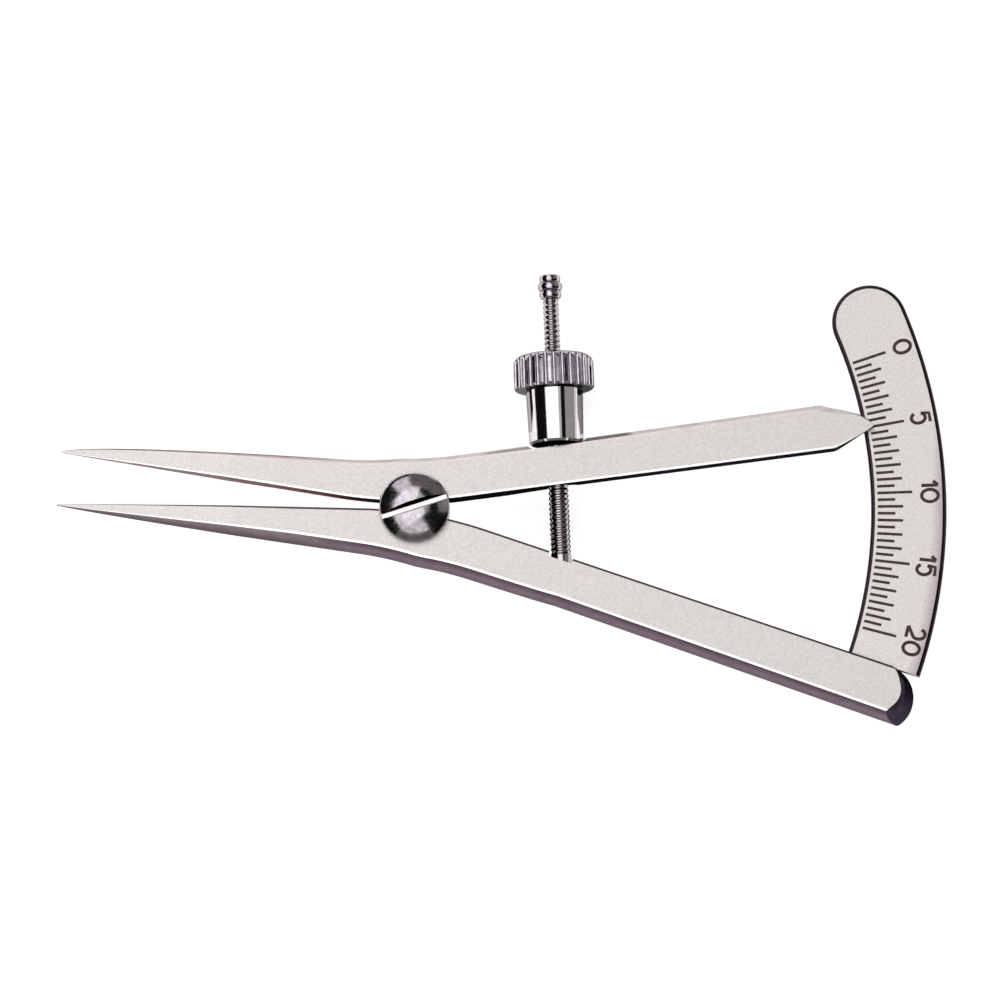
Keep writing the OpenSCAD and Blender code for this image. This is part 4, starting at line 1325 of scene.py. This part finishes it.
def card_material(name, brightness):
    """A studio card of an even grey, seen only in reflections."""
    material = blank_material(name)
    tree = material.node_tree
    glow = new_node(tree, "ShaderNodeEmission", Color=(brightness, brightness, brightness, 1), Strength=1.0)
    new_node(tree, "ShaderNodeOutputMaterial", {"Surface": glow.outputs[0]})
    return material


class CALIPER_OT_stage(bpy.types.Operator):
    """Plain floor, soft light, reflection cards, world and camera"""

    bl_idname = "caliper.stage"
    bl_label = "Stage"

    def execute(self, context):
        finishes = settings()[-1]
        centre = (cad_box[0] + cad_box[1]) / 2
        self.floor(finishes, cad_box[0].z)
        self.lamp("overhead_softbox", Vector((-0.06, 0.09, 0.5)), centre, size=0.52, watts=0.455)
        self.cards(centre)
        self.flags()
        self.world()
        self.camera()
        context.scene.view_settings.view_transform = "Standard"
        return {"FINISHED"}

    def floor(self, finishes, level):
        """A wide sheet of paper under the lowest point of the caliper."""
        half_side = 3
        bm = bmesh.new()
        bmesh.ops.create_grid(bm, x_segments=1, y_segments=1, size=half_side,
                              matrix=Matrix.Translation((0, 0, level)))
        sheet = mesh_object("paper_floor", bm, [floor_paper(finishes)])

    def lamp(self, name, place, target, size, watts):
        """A square softbox that faces the caliper."""
        light = bpy.data.lights.new(name, "AREA")
        light.shape = "SQUARE"
        light.size = size
        light.energy = watts
        lamp = add_object(name, light)
        lamp.location = place
        lamp.rotation_euler = (target - place).to_track_quat("-Z", "Y").to_euler()

    def cards(self, centre):
        """Dark cards that only the metal reflects, each given by its azimuths and heights in degrees."""
        distance, tall_steps, wide_steps = 0.6, 8, 16
        black, grey, dark = (card_material(*kind) for kind in
                             (("black_card", 0.005), ("grey_card", 0.3), ("dark_card", 0.16)))
        spans = [(-130, -50, 2, 50, dark), (130, 230, 2, 53, black), (100, 130, 2, 26, black),
                 (-50, 80, 48, 74, black), (0, 28, 2, 48, grey), (-50, 0, 2, 48, black),
                 (28, 100, 2, 48, dark)]
        for start, end, low, high, material in spans:
            turn = math.radians(start)
            rises = [math.radians(low + (high - low) * i / tall_steps) for i in range(tall_steps + 1)]
            points = [(distance * math.cos(turn) * math.cos(rise),
                       distance * math.sin(turn) * math.cos(rise),
                       distance * math.sin(rise)) for rise in rises]
            bm = spun(points, math.radians(end - start), wide_steps)
            bmesh.ops.translate(bm, verts=bm.verts, vec=centre)
            self.only_reflected(mesh_object("card", bm, [material]))

    def flags(self):
        """Low cards beside the spindle, clear of the arms, which keep the white paper out of its flanks."""
        low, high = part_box("thrust_sleeve")
        middle, nut_top = (low.x + high.x) / 2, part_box("thumb_nut")[1].y
        black, grey, lilac = (card_material(*kind) for kind in
                              (("black_flag", 0.005), ("grey_flag", 0.3), ("lilac_flag", 0.7)))
        floor, under, above = cad_box[0].z + 0.05 * MM, -0.2 * MM, 2 * MM
        # Where each pair starts and ends along Y, how far out it reaches, and its left and right card
        spans = ((-3.5 * MM, 1.5 * MM, 4 * MM, black, black), (low.y + MM, high.y, 7 * MM, lilac, grey),
                 (high.y, nut_top, 7 * MM, black, black))
        for start, end, far, left, right in spans:
            points = [(0.2 * MM, floor, start), (far, under, start), (far, above, low.y + 3 * MM)]
            if end < low.y:
                points.pop()
            for side, near, tall in ((-1, left, black), (1, right, right)):
                bm = bmesh.new()
                pairs = [[bm.verts.new((middle + side * x, y, z)) for y in (max(start, back), end)]
                         for x, z, back in points]
                for part, ((a, b), (c, d)) in enumerate(zip(pairs, pairs[1:])):
                    bm.faces.new((a, b, d, c)).material_index = part
                self.only_reflected(mesh_object("flag", bm, [near, tall]))

    def only_reflected(self, card):
        """Hides a card from everything but reflections."""
        for rays in ("camera", "diffuse", "transmission", "volume_scatter", "shadow"):
            setattr(card, "visible_" + rays, False)

    def world(self):
        """White all round for camera, metal and glass, and a softer white as fill light."""
        world = bpy.data.worlds.new("studio")
        world.use_nodes = True
        tree = world.node_tree
        tree.nodes.clear()
        fill = 0.45
        strength = new_node(tree, "ShaderNodeMapRange", {"Value": seen_white(tree)}, To_Min=fill, To_Max=1.0)
        sky = new_node(tree, "ShaderNodeBackground", {"Strength": strength.outputs["Result"]},
                       Color=(1, 1, 1, 1))
        new_node(tree, "ShaderNodeOutputWorld", {"Surface": sky.outputs[0]})
        bpy.context.scene.world = world

    def camera(self):
        """A long lens that looks down on the front face, tipped ten degrees, as the photograph does."""
        pixels_per_mm, image, lens, sensor = 10.38, 1000, 800, 36
        tilt = math.radians(10)
        back = Vector((0, -math.sin(tilt), math.cos(tilt)))
        target = Vector((8.24 * MM, 0.79 * MM, 3 * MM))
        distance = image / pixels_per_mm * MM * lens / sensor
        data = bpy.data.cameras.new("camera")
        data.lens, data.sensor_width = lens, sensor
        data.clip_start, data.clip_end = 0.01, 20
        camera = add_object("camera", data)
        camera.location = target + back * distance
        camera.rotation_euler = (-back).to_track_quat("-Z", "Y").to_euler()
        bpy.context.scene.camera = camera


OPERATORS = (
    CALIPER_OT_fixed_lever,
    CALIPER_OT_moving_lever,
    CALIPER_OT_scale_plate,
    CALIPER_OT_pivot_screw,
    CALIPER_OT_spindle,
    CALIPER_OT_thumb_nut,
    CALIPER_OT_stage,
)


class CALIPER_PT_panel(bpy.types.Panel):
    """Lists the caliper's pieces and their settings"""

    bl_idname = "CALIPER_PT_panel"
    bl_label = "Caliper"
    bl_space_type = "VIEW_3D"
    bl_region_type = "UI"
    bl_category = "Caliper"

    def draw(self, context):
        for operator in OPERATORS:
            self.layout.operator(operator.bl_idname)
        for group in settings():
            box = self.layout.box()
            for name in group.__annotations__:
                box.prop(group, name)


CLASSES = (*GROUPS.values(), *OPERATORS, CALIPER_PT_panel)


def register():
    for cls in CLASSES:
        bpy.utils.register_class(cls)
    for name, group in GROUPS.items():
        setattr(bpy.types.Scene, name, PointerProperty(type=group))


def unregister():
    for name in GROUPS:
        delattr(bpy.types.Scene, name)
    for cls in reversed(CLASSES):
        bpy.utils.unregister_class(cls)


def main():
    register()
    bpy.ops.caliper.fixed_lever()
    bpy.ops.caliper.moving_lever()
    bpy.ops.caliper.scale_plate()
    bpy.ops.caliper.pivot_screw()
    bpy.ops.caliper.spindle()
    bpy.ops.caliper.thumb_nut()
    bpy.ops.caliper.stage()


if __name__ == "__main__":
    main()
